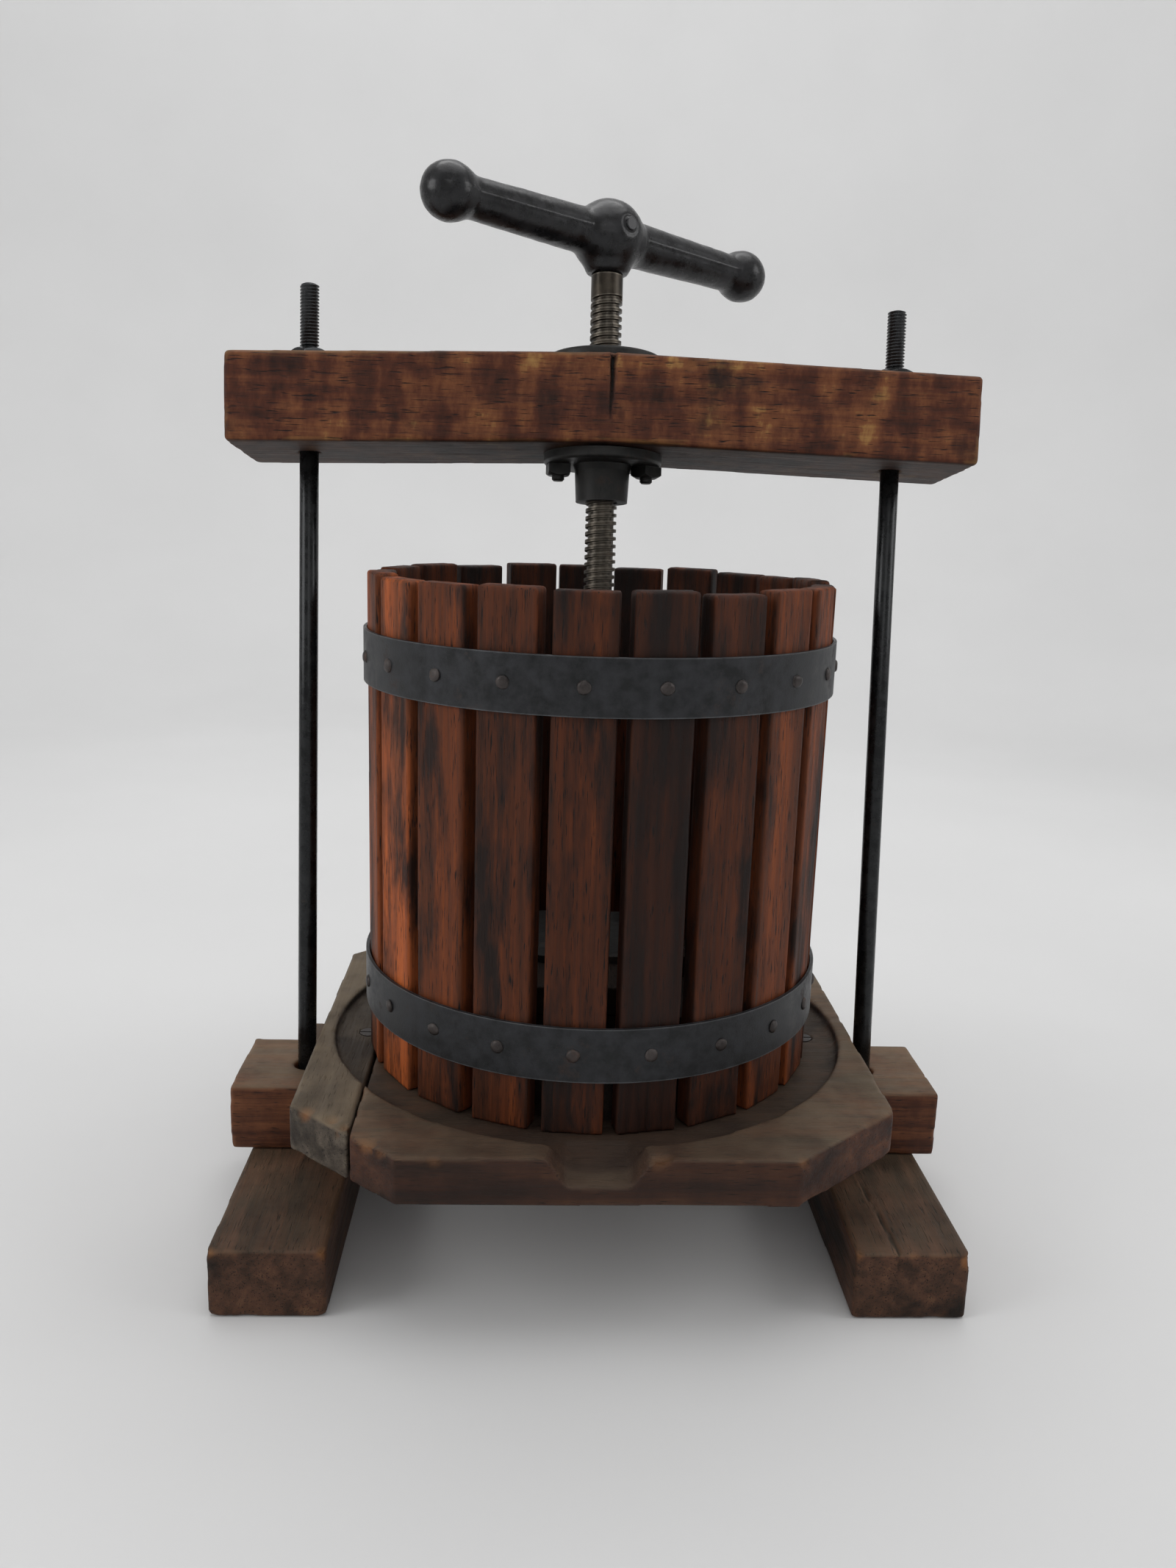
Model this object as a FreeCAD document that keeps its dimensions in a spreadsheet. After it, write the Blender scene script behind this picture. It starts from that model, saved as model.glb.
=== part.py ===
import FreeCAD
import Part
import Sketcher
import math
import os

# A small table-top cider press. Two runners on the floor carry a cross beam and the juice tray.
# Two rods rise from the cross beam to a head beam, which holds the nut of a hand screw. The screw
# drives a round follower down inside a barred basket that stands in the tray. The rods, the head
# beam and the screw lean back together, so they are drawn upright in a leaning frame of their own,
# whose origin is on the cross beam's top between the rods, and are then turned by frame_rake.
# The model's own origin is on the floor, on the basket's axis. +X right, +Y back, +Z up.

doc = FreeCAD.newDocument("CiderPress")
sheet = doc.addObject("Spreadsheet::Sheet", "Sizes")
Vector = FreeCAD.Vector

DIMENSIONS = [
    # the stand
    ("frame_rake", 7.0, "lean of the rods, head beam and screw, degrees"),
    ("rod_foot_place", -7.75, "y of the rods at the cross beam's top"),
    ("rod_spacing", 297.0, "between the rods' axes"),
    ("foot_inset", 2.1, "a runner's middle inside its rod's axis"),
    ("foot_length", 250.0, "runner, front to back"),
    ("foot_width", 53.0, "runner, across"),
    ("foot_height", 33.3, "runner, thickness"),
    ("cross_beam_overhang", 34.5, "cross beam beyond each rod's axis"),
    ("cross_beam_depth", 60.0, "cross beam, front to back"),
    ("cross_beam_height", 35.0, "cross beam, thickness"),
    ("cross_beam_shift", -6.0, "y of the cross beam's middle"),
    ("timber_edge", 1.5, "rounding of the timber edges"),
    ("cut_overrun", 2.0, "how far a cut starts outside the face that it opens"),
    ("slot_width", 1.3, "slot in a screw's or bolt's head, width"),
    ("slot_depth", 1.2, "slot in a screw's or bolt's head, depth"),
    # the rods and their nuts
    ("rod_diameter", 9.525, "rod over its thread"),
    ("rod_left_reach", 35.6, "left rod beyond the head beam's top"),
    ("rod_right_reach", 33.1, "right rod beyond the head beam's top"),
    ("rod_hole_play", 1.7375, "between a rod and its hole in the stand, on the radius"),
    ("rod_end_chamfer", 0.9, "chamfer on the rod ends"),
    ("rod_nut_across", 15.875, "square nut, across its flats"),
    ("rod_nut_height", 8.4, "square nut, thickness"),
    ("rod_washer_diameter", 24.0, "washer under the lower nut"),
    ("rod_washer_thickness", 2.0, "washer, thickness"),
    ("rod_washer_play", 0.6, "between a rod and its washer, on the radius"),
    ("counterbore_depth", 14.5, "depth of the pocket for the lower nut, along the rod"),
    ("counterbore_play", 2.0, "between the washer and its pocket, on the radius"),
    ("rod_end_reach", 2.0, "rod beyond the lower nut"),
    ("thread_clearance", 0.05, "between a nut's bore and its rod, on the radius"),
    # the tray
    ("tray_side_gap", 3.7375, "between the tray's side and a rod"),
    ("tray_depth", 289.0, "tray, front to back"),
    ("tray_thickness", 22.5, "tray boards, thickness"),
    ("tray_corner_width", 53.0, "cut corner, across"),
    ("tray_corner_depth", 46.5, "cut corner, front to back"),
    ("recess_margin", 17.5, "recess for the juice beyond the basket, on the radius"),
    ("recess_depth", 5.0, "recess, depth"),
    ("tray_joint_place", 109.0, "joint between the boards, left of the middle"),
    ("tray_joint_gap", 0.6, "open joint between the boards"),
    ("tray_edge", 1.2, "rounding of the tray's edges"),
    ("spout_top_width", 48.0, "spout notch, at the tray's top"),
    ("spout_floor_width", 28.0, "spout notch, at its floor"),
    ("spout_depth", 13.8, "spout notch, depth at the tray's front"),
    ("spout_length", 27.0, "spout notch, front to back"),
    ("dowel_diameter", 8.0, "dowels across the board joint"),
    ("dowel_length", 36.0, "dowels, length"),
    ("dowel_spacing", 150.0, "between the dowels"),
    ("tray_screw_shank", 4.8, "tray screw, shank diameter"),
    ("tray_screw_head", 9.4, "tray screw, head diameter"),
    ("tray_screw_length", 38.0, "tray screw, length"),
    ("tray_screw_point", 4.0, "tray screw, length of its point"),
    ("tray_screw_land", 0.6, "tray screw, straight rim of its head"),
    ("tray_screw_margin", 16.5, "outer tray screws inside the recess's wall"),
    ("tray_screw_spacing", 90.0, "between the inner tray screws"),
    # the basket
    ("stave_count", 21, "staves round the basket"),
    ("basket_inside", 103.157, "basket's axis to the staves' backs"),
    ("stave_gap", 3.297, "gap between two staves, at their backs"),
    ("stave_thickness", 11.0, "stave, thickness"),
    ("stave_length", 242.0, "stave, length"),
    ("stave_unevenness", 0.8, "how much the staves differ in length, each way"),
    ("stave_rhythm", 131.8, "how that difference runs round the basket, degrees a stave"),
    ("stave_edge", 1.0, "rounding of the staves' long edges"),
    ("basket_turn", -5.7, "turn of the first stave from the front, degrees"),
    ("hoop_width", 25.4, "iron hoop, height"),
    ("hoop_thickness", 1.6, "iron hoop, thickness"),
    ("hoop_clearance", 0.15, "between the hoops and the staves' corners"),
    ("hoop_low_place", 39.1, "middle of the lower hoop above the basket's foot"),
    ("hoop_high_drop", 39.3, "middle of the upper hoop below the staves' tops"),
    ("hoop_lap_angle", 12.5, "overlap where the hoop is closed, degrees"),
    ("hoop_lap_bond", 0.05, "how far the lap is sunk into the strap under it"),
    ("nail_head_radius", 3.2, "hoop nail, head radius"),
    ("nail_head_height", 1.3, "hoop nail, head height"),
    ("nail_shank_radius", 1.25, "hoop nail, shank radius"),
    ("nail_length", 9.0, "hoop nail, length under its head"),
    ("nail_point", 2.0, "hoop nail, length of its point"),
    ("nail_clearance", 0.05, "between a nail and its hole, on the radius"),
    ("rivet_spacing", 12.0, "between the two rivets of a hoop's lap"),
    ("rivet_radius", 1.6, "rivet, shank radius"),
    ("rivet_head_radius", 2.7, "rivet, head radius"),
    ("rivet_head_height", 1.2, "rivet, head height"),
    # the follower
    ("follower_clearance", 3.2, "between the follower and the staves, on the radius"),
    ("follower_thickness", 20.0, "follower boards, thickness"),
    ("follower_board_width", 66.0, "middle follower board, across"),
    ("follower_screw_radius", 2.2, "follower screw, shank radius"),
    ("follower_screw_length", 21.6, "follower screw, length under its head"),
    ("follower_screw_point", 1.6, "follower screw, length of its point"),
    ("follower_screw_head", 4.6, "follower screw, head radius"),
    ("follower_screw_crown", 2.8, "follower screw, head height"),
    ("follower_screw_inset", 19.0, "follower screw from its batten's end"),
    ("follower_gap", 0.6, "open joints between the follower boards"),
    ("batten_margin", 3.13, "batten's corners inside the follower's rim"),
    ("batten_width", 28.0, "follower batten, width"),
    ("batten_height", 12.0, "follower batten, height"),
    ("batten_spacing", 84.0, "between the battens' middles"),
    ("block_length", 112.0, "pressing block, length"),
    ("block_width", 70.0, "pressing block, width"),
    ("block_height", 15.4, "pressing block, height"),
    ("wear_plate_length", 72.0, "iron wear plate, front to back"),
    ("wear_plate_width", 56.0, "iron wear plate, across"),
    ("wear_plate_thickness", 4.0, "iron wear plate, thickness"),
    ("wear_plate_shift", 11.0, "y of the wear plate's middle"),
    ("wear_plate_corner", 3.0, "rounding of the wear plate's corners"),
    # the head beam
    ("beam_underside", 321.5, "beam's underside at the middle, along the rods"),
    ("beam_overhang", 34.5, "head beam beyond each rod's axis"),
    ("beam_depth", 70.0, "head beam, front to back"),
    ("beam_height", 42.9, "head beam, thickness"),
    ("beam_bow", 1.65, "fall of each half of the beam to its end, degrees"),
    ("beam_edge", 2.0, "rounding of the beam's edges"),
    ("beam_rod_play", 0.4375, "between a rod and its hole in the beam, on the radius"),
    ("beam_screw_play", 1.5, "between the screw and its hole in the beam, on the radius"),
    ("nut_seat_depth", 0.6, "depth of the flats under the upper rod nuts"),
    ("nut_seat_play", 1.275, "flat beyond the nut's corners, on the radius"),
    ("plate_seat_depth", 0.6, "depth of the flat under the round plate"),
    ("plate_seat_play", 0.3, "flat beyond the round plate, on the radius"),
    ("crack_place", 2.0, "x of the crack in the beam's front"),
    ("crack_width", 1.8, "crack, width at the top"),
    ("crack_height", 34.0, "crack, height"),
    ("crack_lean", 0.45, "where the crack's foot is, as a share of its width"),
    # the screw nut, its plate and its bolts
    ("flange_diameter", 60.0, "flange of the screw nut"),
    ("flange_thickness", 5.2, "flange, thickness"),
    ("boss_diameter", 28.0, "boss of the screw nut"),
    ("boss_height", 23.6, "flange and boss together"),
    ("boss_taper", 0.8, "how much the boss narrows to its foot, on the radius"),
    ("boss_root", 1.0, "how much the boss widens at the flange, on the radius"),
    ("boss_root_height", 3.0, "height of that widening"),
    ("plate_diameter", 58.0, "round plate on the beam"),
    ("plate_thickness", 5.0, "round plate, thickness"),
    ("plate_screw_play", 0.8, "between the screw and the round plate, on the radius"),
    ("plate_rim", 1.6, "rounding of the plate's and the flange's rims"),
    ("bolt_spacing", 45.0, "between the flange bolts"),
    ("bolt_diameter", 6.35, "flange bolt, diameter"),
    ("bolt_play", 0.325, "between a flange bolt and its holes, on the radius"),
    ("bolt_head_diameter", 10.6, "flange bolt, countersunk head"),
    ("bolt_nut_across", 11.1, "flange bolt nut, across its flats"),
    ("bolt_nut_height", 5.6, "flange bolt nut, thickness"),
    ("bolt_end_reach", 2.6, "flange bolt beyond its nut"),
    ("bolt_end_bevel", 0.8, "bevel on a flange bolt's end"),
    # the screw and its shoe
    ("screw_diameter", 16.0, "screw over its thread"),
    ("screw_thread_depth", 1.4, "screw thread, depth"),
    ("screw_pitch", 3.9, "screw, pitch"),
    ("screw_clearance", 0.25, "between the screw and the nut's bore, on the radius"),
    ("screw_plain_length", 8.0, "screw without thread under the handle, at least"),
    ("thread_mouth", 0.33, "half of the thread groove's mouth, in pitches"),
    ("thread_floor", 0.22, "half of the thread groove's floor, in pitches"),
    ("thread_block", 8, "turns of the thread groove cut as one piece"),
    ("thread_block_lap", 0.1, "how far a block of turns runs into the next, in turns"),
    ("thread_block_growth", 0.01, "how much every second block is larger all round"),
    ("collar_diameter", 18.0, "collar at the screw's lower end"),
    ("collar_height", 4.7, "collar, height"),
    ("neck_height", 3.5, "open neck between the collar and the shoe"),
    ("spigot_diameter", 8.0, "spigot that turns in the shoe"),
    ("spigot_depth", 7.0, "spigot, length inside the shoe"),
    ("spigot_clearance", 0.05, "between the spigot and the shoe, on the radius"),
    ("spigot_end_gap", 0.3, "between the spigot's end and the shoe's bore"),
    ("spigot_groove_depth", 1.3, "groove for the shoe's pin in the spigot"),
    ("spigot_groove_play", 0.3, "between the pin and its groove's sides"),
    ("nose_radius", 9.0, "round nose of the shoe"),
    ("nose_drop", 1.0, "nose's middle below the shoe's top"),
    ("shoe_diameter", 20.0, "shoe, diameter"),
    ("shoe_height", 3.6, "shoe's straight part"),
    ("shoe_gap", 0.3, "between the shoe's nose and the wear plate"),
    ("shoe_pin_diameter", 2.0, "pin that keeps the shoe on the spigot"),
    ("shoe_pin_inset", 0.1, "shoe pin's axis inside the spigot's side"),
    ("shoe_pin_short", 1.2, "shoe pin's end inside the shoe's side"),
    # the handle
    ("handle_rise", 58.99, "handle's axis above the round plate, screwed down"),
    ("handle_turn", 35.5, "turn of the handle bar from the beam, degrees"),
    ("handle_reach", 93.3, "handle's middle to a ball's middle"),
    ("ball_diameter", 27.0, "ball ends of the handle"),
    ("arm_root_diameter", 23.0, "handle arm at the hub"),
    ("arm_tip_diameter", 18.6, "handle arm at the ball"),
    ("hub_diameter", 37.0, "round hub of the handle"),
    ("skirt_diameter", 28.0, "skirt under the hub, where it starts"),
    ("skirt_end_diameter", 21.0, "skirt under the hub, at its lower end"),
    ("skirt_height", 18.8, "handle's axis to the skirt's lower end"),
    ("hub_bore", 14.1, "bore for the screw's top end"),
    ("hub_bore_height", 10.0, "bore above the handle's axis"),
    ("hub_bore_gap", 0.5, "between the screw's top end and the bore's end"),
    ("hub_fit", 0.05, "between the screw's top end and the hub, on the radius"),
    ("hub_blend", 3.0, "fillets on the handle"),
    ("handle_pin_diameter", 6.4, "cross pin through the hub"),
    ("handle_pin_rise", 2.4, "cross pin above the handle's axis"),
    ("handle_pin_proud", 0.3, "cross pin beyond the hub, each end"),
    ("handle_pin_edge", 0.6, "rounding of the cross pin's ends"),
]


def fill_sheet():
    for row, (alias, number, meaning) in enumerate(DIMENSIONS, start=1):
        sheet.set(f"A{row}", meaning)
        sheet.set(f"B{row}", str(number))
        sheet.setAlias(f"B{row}", alias)
    doc.recompute()


def size(alias):
    """A driving dimension as a plain number."""
    return float(sheet.get(alias))


# Heights in the model's frame, as expressions.
STAND_TOP = "(Sizes.foot_height + Sizes.cross_beam_height)"
TRAY_FLOOR = f"({STAND_TOP} + Sizes.tray_thickness - Sizes.recess_depth)"
BATTEN_FOOT = f"({TRAY_FLOOR} + Sizes.follower_thickness)"
BLOCK_FOOT = f"({BATTEN_FOOT} + Sizes.batten_height)"
WEAR_FOOT = f"({BLOCK_FOOT} + Sizes.block_height)"
WEAR_TOP = f"({WEAR_FOOT} + Sizes.wear_plate_thickness)"

# Places and lengths that follow the rods and the basket, as expressions.
FIT = "Sizes.nail_clearance"
ROD_PLACE = "(Sizes.rod_spacing / 2)"
FOOT_PLACE = f"({ROD_PLACE} - Sizes.foot_inset)"
BEAM_LENGTH = "(Sizes.rod_spacing + 2 * Sizes.beam_overhang)"
CROSS_BEAM_LENGTH = "(Sizes.rod_spacing + 2 * Sizes.cross_beam_overhang)"
ROD_RADIUS = "(Sizes.rod_diameter / 2)"
WASHER_RADIUS = "(Sizes.rod_washer_diameter / 2)"
SCREW_RADIUS = "(Sizes.screw_diameter / 2)"
BOLT_HOLE = "(Sizes.bolt_diameter / 2 + Sizes.bolt_play)"
BOLT_PLACE = "(Sizes.bolt_spacing / 2)"
TRAY_WIDTH = "(Sizes.rod_spacing - Sizes.rod_diameter - 2 * Sizes.tray_side_gap)"

# Heights in the leaning frame, along the rods, as expressions.
LOWER_SEAT = f"(Sizes.counterbore_depth - {STAND_TOP} / cos(Sizes.frame_rake))"
BOW_SLOPE = "tan(Sizes.beam_bow)"
BEAM_TOP = "(Sizes.beam_underside + Sizes.beam_height)"
UPPER_SEAT = f"({BEAM_TOP} - {ROD_PLACE} * {BOW_SLOPE} - Sizes.nut_seat_depth)"
PLATE_SEAT = f"({BEAM_TOP} - Sizes.plate_seat_depth)"
PLATE_TOP = f"({PLATE_SEAT} + Sizes.plate_thickness)"
FLANGE_SEAT = "(Sizes.beam_underside - Sizes.flange_diameter / 2 * tan(Sizes.beam_bow))"
FLANGE_FOOT = f"({FLANGE_SEAT} - Sizes.flange_thickness)"
NOSE_CENTRE = (
    f"(({WEAR_TOP} + Sizes.shoe_gap + Sizes.nose_radius - {STAND_TOP}) / cos(Sizes.frame_rake))"
)
SHOE_TOP = f"({NOSE_CENTRE} + Sizes.nose_drop)"
HANDLE_AXIS = f"({PLATE_TOP} + Sizes.handle_rise)"
SHOE_PIN_PLACE = (
    "(Sizes.spigot_diameter / 2 - Sizes.shoe_pin_inset)",
    f"({SHOE_TOP} - Sizes.spigot_depth / 2)",
)

# The basket, as expressions. Its staves are flat, so their corners stand furthest out.
STAVE_WIDTH = "(2 * tan(180 / Sizes.stave_count) * Sizes.basket_inside - Sizes.stave_gap)"
STAVE_FACE = "(Sizes.basket_inside + Sizes.stave_thickness)"
BASKET_RADIUS = f"sqrt({STAVE_FACE} ^ 2 + {STAVE_WIDTH} ^ 2 / 4)"
HOOP_INSIDE = f"({BASKET_RADIUS} + Sizes.hoop_clearance)"
HOOP_OUTSIDE = f"({HOOP_INSIDE} + Sizes.hoop_thickness)"
HOOP_HEIGHTS = {
    "low": "Sizes.hoop_low_place",
    "high": "(Sizes.stave_length - Sizes.hoop_high_drop)",
}
RECESS_RADIUS = f"({BASKET_RADIUS} + Sizes.recess_margin)"

# The follower, as expressions.
FOLLOWER_RADIUS = "(Sizes.basket_inside - Sizes.follower_clearance)"
BATTEN_PLACE = "(Sizes.batten_spacing / 2)"
BATTEN_OUTSIDE = f"({BATTEN_PLACE} + Sizes.batten_width / 2)"
BATTEN_REACH = f"sqrt(({FOLLOWER_RADIUS} - Sizes.batten_margin) ^ 2 - {BATTEN_OUTSIDE} ^ 2)"
FOLLOWER_SCREW_PLACE = f"({BATTEN_REACH} - Sizes.follower_screw_inset)"

# Shapes that repeat, as shares of a size.
NUT_CROWN_START = 0.46
NUT_CROWN_END = 0.75
NUT_CROWN_ANGLE = 30
DOME_SHOULDER = (0.46, 0.9)
DOME_TOP = (0.92, 0.5)
RIVET_TOP = (0.8, 0.6)


# ---------------------------------------------------------------- building blocks


def new_body(name):
    body = doc.addObject("PartDesign::Body", name)
    body.Label = name
    return body


def origin_part(body, role):
    return next(part for part in body.Origin.OriginFeatures if part.Role == role)


def new_sketch(body, name, role="XY_Plane", offset=None, turn_axis=None, turn=None):
    """A sketch on one of the body's own planes, moved and turned by expressions."""
    sketch = body.newObject("Sketcher::SketchObject", name)
    sketch.AttachmentSupport = [(origin_part(body, role), "")]
    sketch.MapMode = "FlatFace"
    if turn_axis is not None:
        rotation = FreeCAD.Rotation(turn_axis, 10)
        sketch.AttachmentOffset = FreeCAD.Placement(Vector(0, 0, 0), rotation)
        sketch.setExpression("AttachmentOffset.Rotation.Angle", turn)
    for letter, expression in zip("xyz", offset or []):
        if expression != "0":
            sketch.setExpression(f"AttachmentOffset.Base.{letter}", expression)
    return sketch


def polygon(sketch, corners):
    """A closed outline whose corners are bound to pairs of expressions."""
    first = sketch.GeometryCount
    count = len(corners)
    circle = [2 * math.pi * k / count for k in range(count)]
    guess = [Vector(50 * math.cos(turn), 50 * math.sin(turn), 0) for turn in circle]
    for k in range(count):
        sketch.addGeometry(Part.LineSegment(guess[k], guess[(k + 1) % count]), False)
    for k in range(count):
        following = first + (k + 1) % count
        sketch.addConstraint(Sketcher.Constraint("Coincident", first + k, 2, following, 1))
    for k, (across, up) in enumerate(corners):
        for kind, expression, start in (
            ("DistanceX", across, guess[k].x),
            ("DistanceY", up, guess[k].y),
        ):
            bound = Sketcher.Constraint(kind, -1, 1, first + k, 1, start)
            index = sketch.addConstraint(bound)
            sketch.setExpression(f"Constraints[{index}]", expression)


def rectangle(sketch, width, height):
    half_width = f"{width} / 2"
    half_height = f"{height} / 2"
    polygon(
        sketch,
        [
            (f"-{half_width}", f"-{half_height}"),
            (half_width, f"-{half_height}"),
            (half_width, half_height),
            (f"-{half_width}", half_height),
        ],
    )


def circle(sketch, radius, across="0", up="0"):
    index = sketch.addGeometry(Part.Circle(Vector(1, 1, 0), Vector(0, 0, 1), 5), False)
    for kind, expression in (("DistanceX", across), ("DistanceY", up)):
        place = sketch.addConstraint(Sketcher.Constraint(kind, -1, 1, index, 3, 1.0))
        sketch.setExpression(f"Constraints[{place}]", expression)
    bound = sketch.addConstraint(Sketcher.Constraint("Radius", index, 5.0))
    sketch.setExpression(f"Constraints[{bound}]", radius)


def pad(body, sketch, length, midplane=False, reverse=False):
    feature = body.newObject("PartDesign::Pad", "Pad")
    feature.Profile = sketch
    feature.Midplane = midplane
    feature.Reversed = reverse
    feature.setExpression("Length", length)
    doc.recompute()
    return feature


def pocket(body, sketch, length=None, midplane=False, reverse=False):
    """Cuts through everything on one side, or to a length, and proves that it cut."""
    before = body.Tip.Shape.Volume
    feature = body.newObject("PartDesign::Pocket", "Pocket")
    feature.Profile = sketch
    feature.Midplane = midplane
    feature.Reversed = reverse
    if length is None:
        feature.Type = "ThroughAll"
    else:
        feature.setExpression("Length", length)
    doc.recompute()
    if feature.Shape.isNull() or feature.Shape.Volume >= before - 1e-6:
        raise RuntimeError(f"{body.Label}: {sketch.Label} cut nothing")
    return feature


def revolve(body, sketch, axis="V_Axis", angle="360"):
    feature = body.newObject("PartDesign::Revolution", "Revolution")
    feature.Profile = sketch
    feature.ReferenceAxis = (sketch, [axis])
    feature.setExpression("Angle", angle)
    doc.recompute()
    return feature


def round_edges(body, radius, chosen, kind="PartDesign::Fillet"):
    """Rounds, or chamfers, the edges of the body's tip that the test picks."""
    tip = body.Tip
    names = [f"Edge{k}" for k, edge in enumerate(tip.Shape.Edges, start=1) if chosen(edge)]
    feature = body.newObject(kind, kind.split("::")[1])
    feature.Base = (tip, names)
    feature.setExpression("Size" if kind.endswith("Chamfer") else "Radius", radius)
    doc.recompute()
    return feature


def repeat_round(body, feature, count):
    pattern = body.newObject("PartDesign::PolarPattern", "PolarPattern")
    pattern.Originals = [feature]
    pattern.Axis = (origin_part(body, "Z_Axis"), [""])
    pattern.Angle = 360
    pattern.setExpression("Occurrences", count)
    body.Tip = pattern
    doc.recompute()
    return pattern


def place(piece, x="0", y="0", z="0"):
    for letter, expression in (("x", x), ("y", y), ("z", z)):
        if expression != "0":
            piece.setExpression(f"Placement.Base.{letter}", expression)
    return piece


def turn_about_z(piece, angle):
    piece.Placement = FreeCAD.Placement(Vector(0, 0, 0), FreeCAD.Rotation(Vector(0, 0, 1), 10))
    piece.setExpression("Placement.Rotation.Angle", angle)
    return piece


def lean(piece):
    """Moves a piece from the leaning frame into the model's frame."""
    piece.Placement = FreeCAD.Placement(Vector(0, 0, 0), FreeCAD.Rotation(Vector(-1, 0, 0), 5))
    piece.setExpression("Placement.Rotation.Angle", "Sizes.frame_rake")
    return place(piece, "0", "Sizes.rod_foot_place", STAND_TOP)


def cylinder(name, radius, height, x="0", y="0", z="0"):
    solid = doc.addObject("Part::Cylinder", name)
    solid.setExpression("Radius", radius)
    solid.setExpression("Height", height)
    return place(solid, x, y, z)


def block(name, length, width, height, x="0", y="0", z="0"):
    """A box whose placement is the middle of its foot."""
    solid = doc.addObject("Part::Box", name)
    solid.setExpression("Length", length)
    solid.setExpression("Width", width)
    solid.setExpression("Height", height)
    return place(solid, f"{x} - {length} / 2", f"{y} - {width} / 2", z)


def cut(name, base, tool):
    result = doc.addObject("Part::Cut", name)
    result.Base = base
    result.Tool = tool
    result.Label = name
    return result


def fuse(name, solids):
    result = doc.addObject("Part::MultiFuse", name)
    result.Shapes = solids
    result.Label = name
    return result


def gather(name, solids):
    result = doc.addObject("Part::Compound", name)
    result.Links = solids
    result.Label = name
    return result


def flat_edge(height, tolerance=0.01):
    """Tests for edges that lie level at a height."""
    return lambda edge: all(abs(v.Point.z - height) < tolerance for v in edge.Vertexes)


def long_edge(length):
    """Tests for straight edges at least so long."""

    def test(edge):
        return edge.Curve.TypeId == "Part::GeomLine" and edge.Length > length

    return test


# ---------------------------------------------------------------- the stand


def rod_holes(body, name, centres, height, radius, rise, shift="0"):
    """Leaning holes for the rods. They start a rise along the rods above a height, and go down."""
    y = f"Sizes.rod_foot_place - {shift} + {rise} * sin(Sizes.frame_rake)"
    z = f"{height} + {rise} * cos(Sizes.frame_rake)"
    sketch = new_sketch(
        body, name, offset=["0", y, z], turn_axis=Vector(-1, 0, 0), turn="Sizes.frame_rake"
    )
    for centre in centres:
        circle(sketch, radius, centre)
    return pocket(body, sketch)


def make_foot(name, side):
    body = new_body(name)
    sketch = new_sketch(body, "FootPlan")
    rectangle(sketch, "Sizes.foot_width", "Sizes.foot_length")
    pad(body, sketch, "Sizes.foot_height")
    round_edges(body, "Sizes.timber_edge", long_edge(1))
    centre = f"{side} * Sizes.foot_inset"
    hole = f"{ROD_RADIUS} + Sizes.rod_hole_play"
    rod_holes(body, "RodHole", [centre], STAND_TOP, hole, "Sizes.cut_overrun")
    nut_pocket = f"{WASHER_RADIUS} + Sizes.counterbore_play"
    rod_holes(body, "NutPocket", [centre], STAND_TOP, nut_pocket, LOWER_SEAT)
    return place(body, f"{side} * {FOOT_PLACE}")


def make_cross_beam():
    body = new_body("cross_beam")
    sketch = new_sketch(body, "BeamPlan")
    rectangle(sketch, CROSS_BEAM_LENGTH, "Sizes.cross_beam_depth")
    pad(body, sketch, "Sizes.cross_beam_height")
    round_edges(body, "Sizes.timber_edge", long_edge(1))
    rod_holes(
        body,
        "RodHoles",
        [f"-{ROD_PLACE}", ROD_PLACE],
        "Sizes.cross_beam_height",
        f"{ROD_RADIUS} + Sizes.rod_hole_play",
        "Sizes.cut_overrun",
        "Sizes.cross_beam_shift",
    )
    for centre in tray_screw_places():
        sketch = new_sketch(body, "ScrewHole")
        circle(sketch, f"Sizes.tray_screw_shank / 2 + {FIT}", centre)
        pocket(body, sketch, reverse=True)
    return place(body, "0", "Sizes.cross_beam_shift", "Sizes.foot_height")


def tray_screw_places():
    """The four tray screws from left to right. Only the first is in the left board."""
    outer = f"({RECESS_RADIUS} - Sizes.tray_screw_margin)"
    inner = "Sizes.tray_screw_spacing / 2"
    return [f"-{outer}", f"-{inner}", inner, outer]


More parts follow.
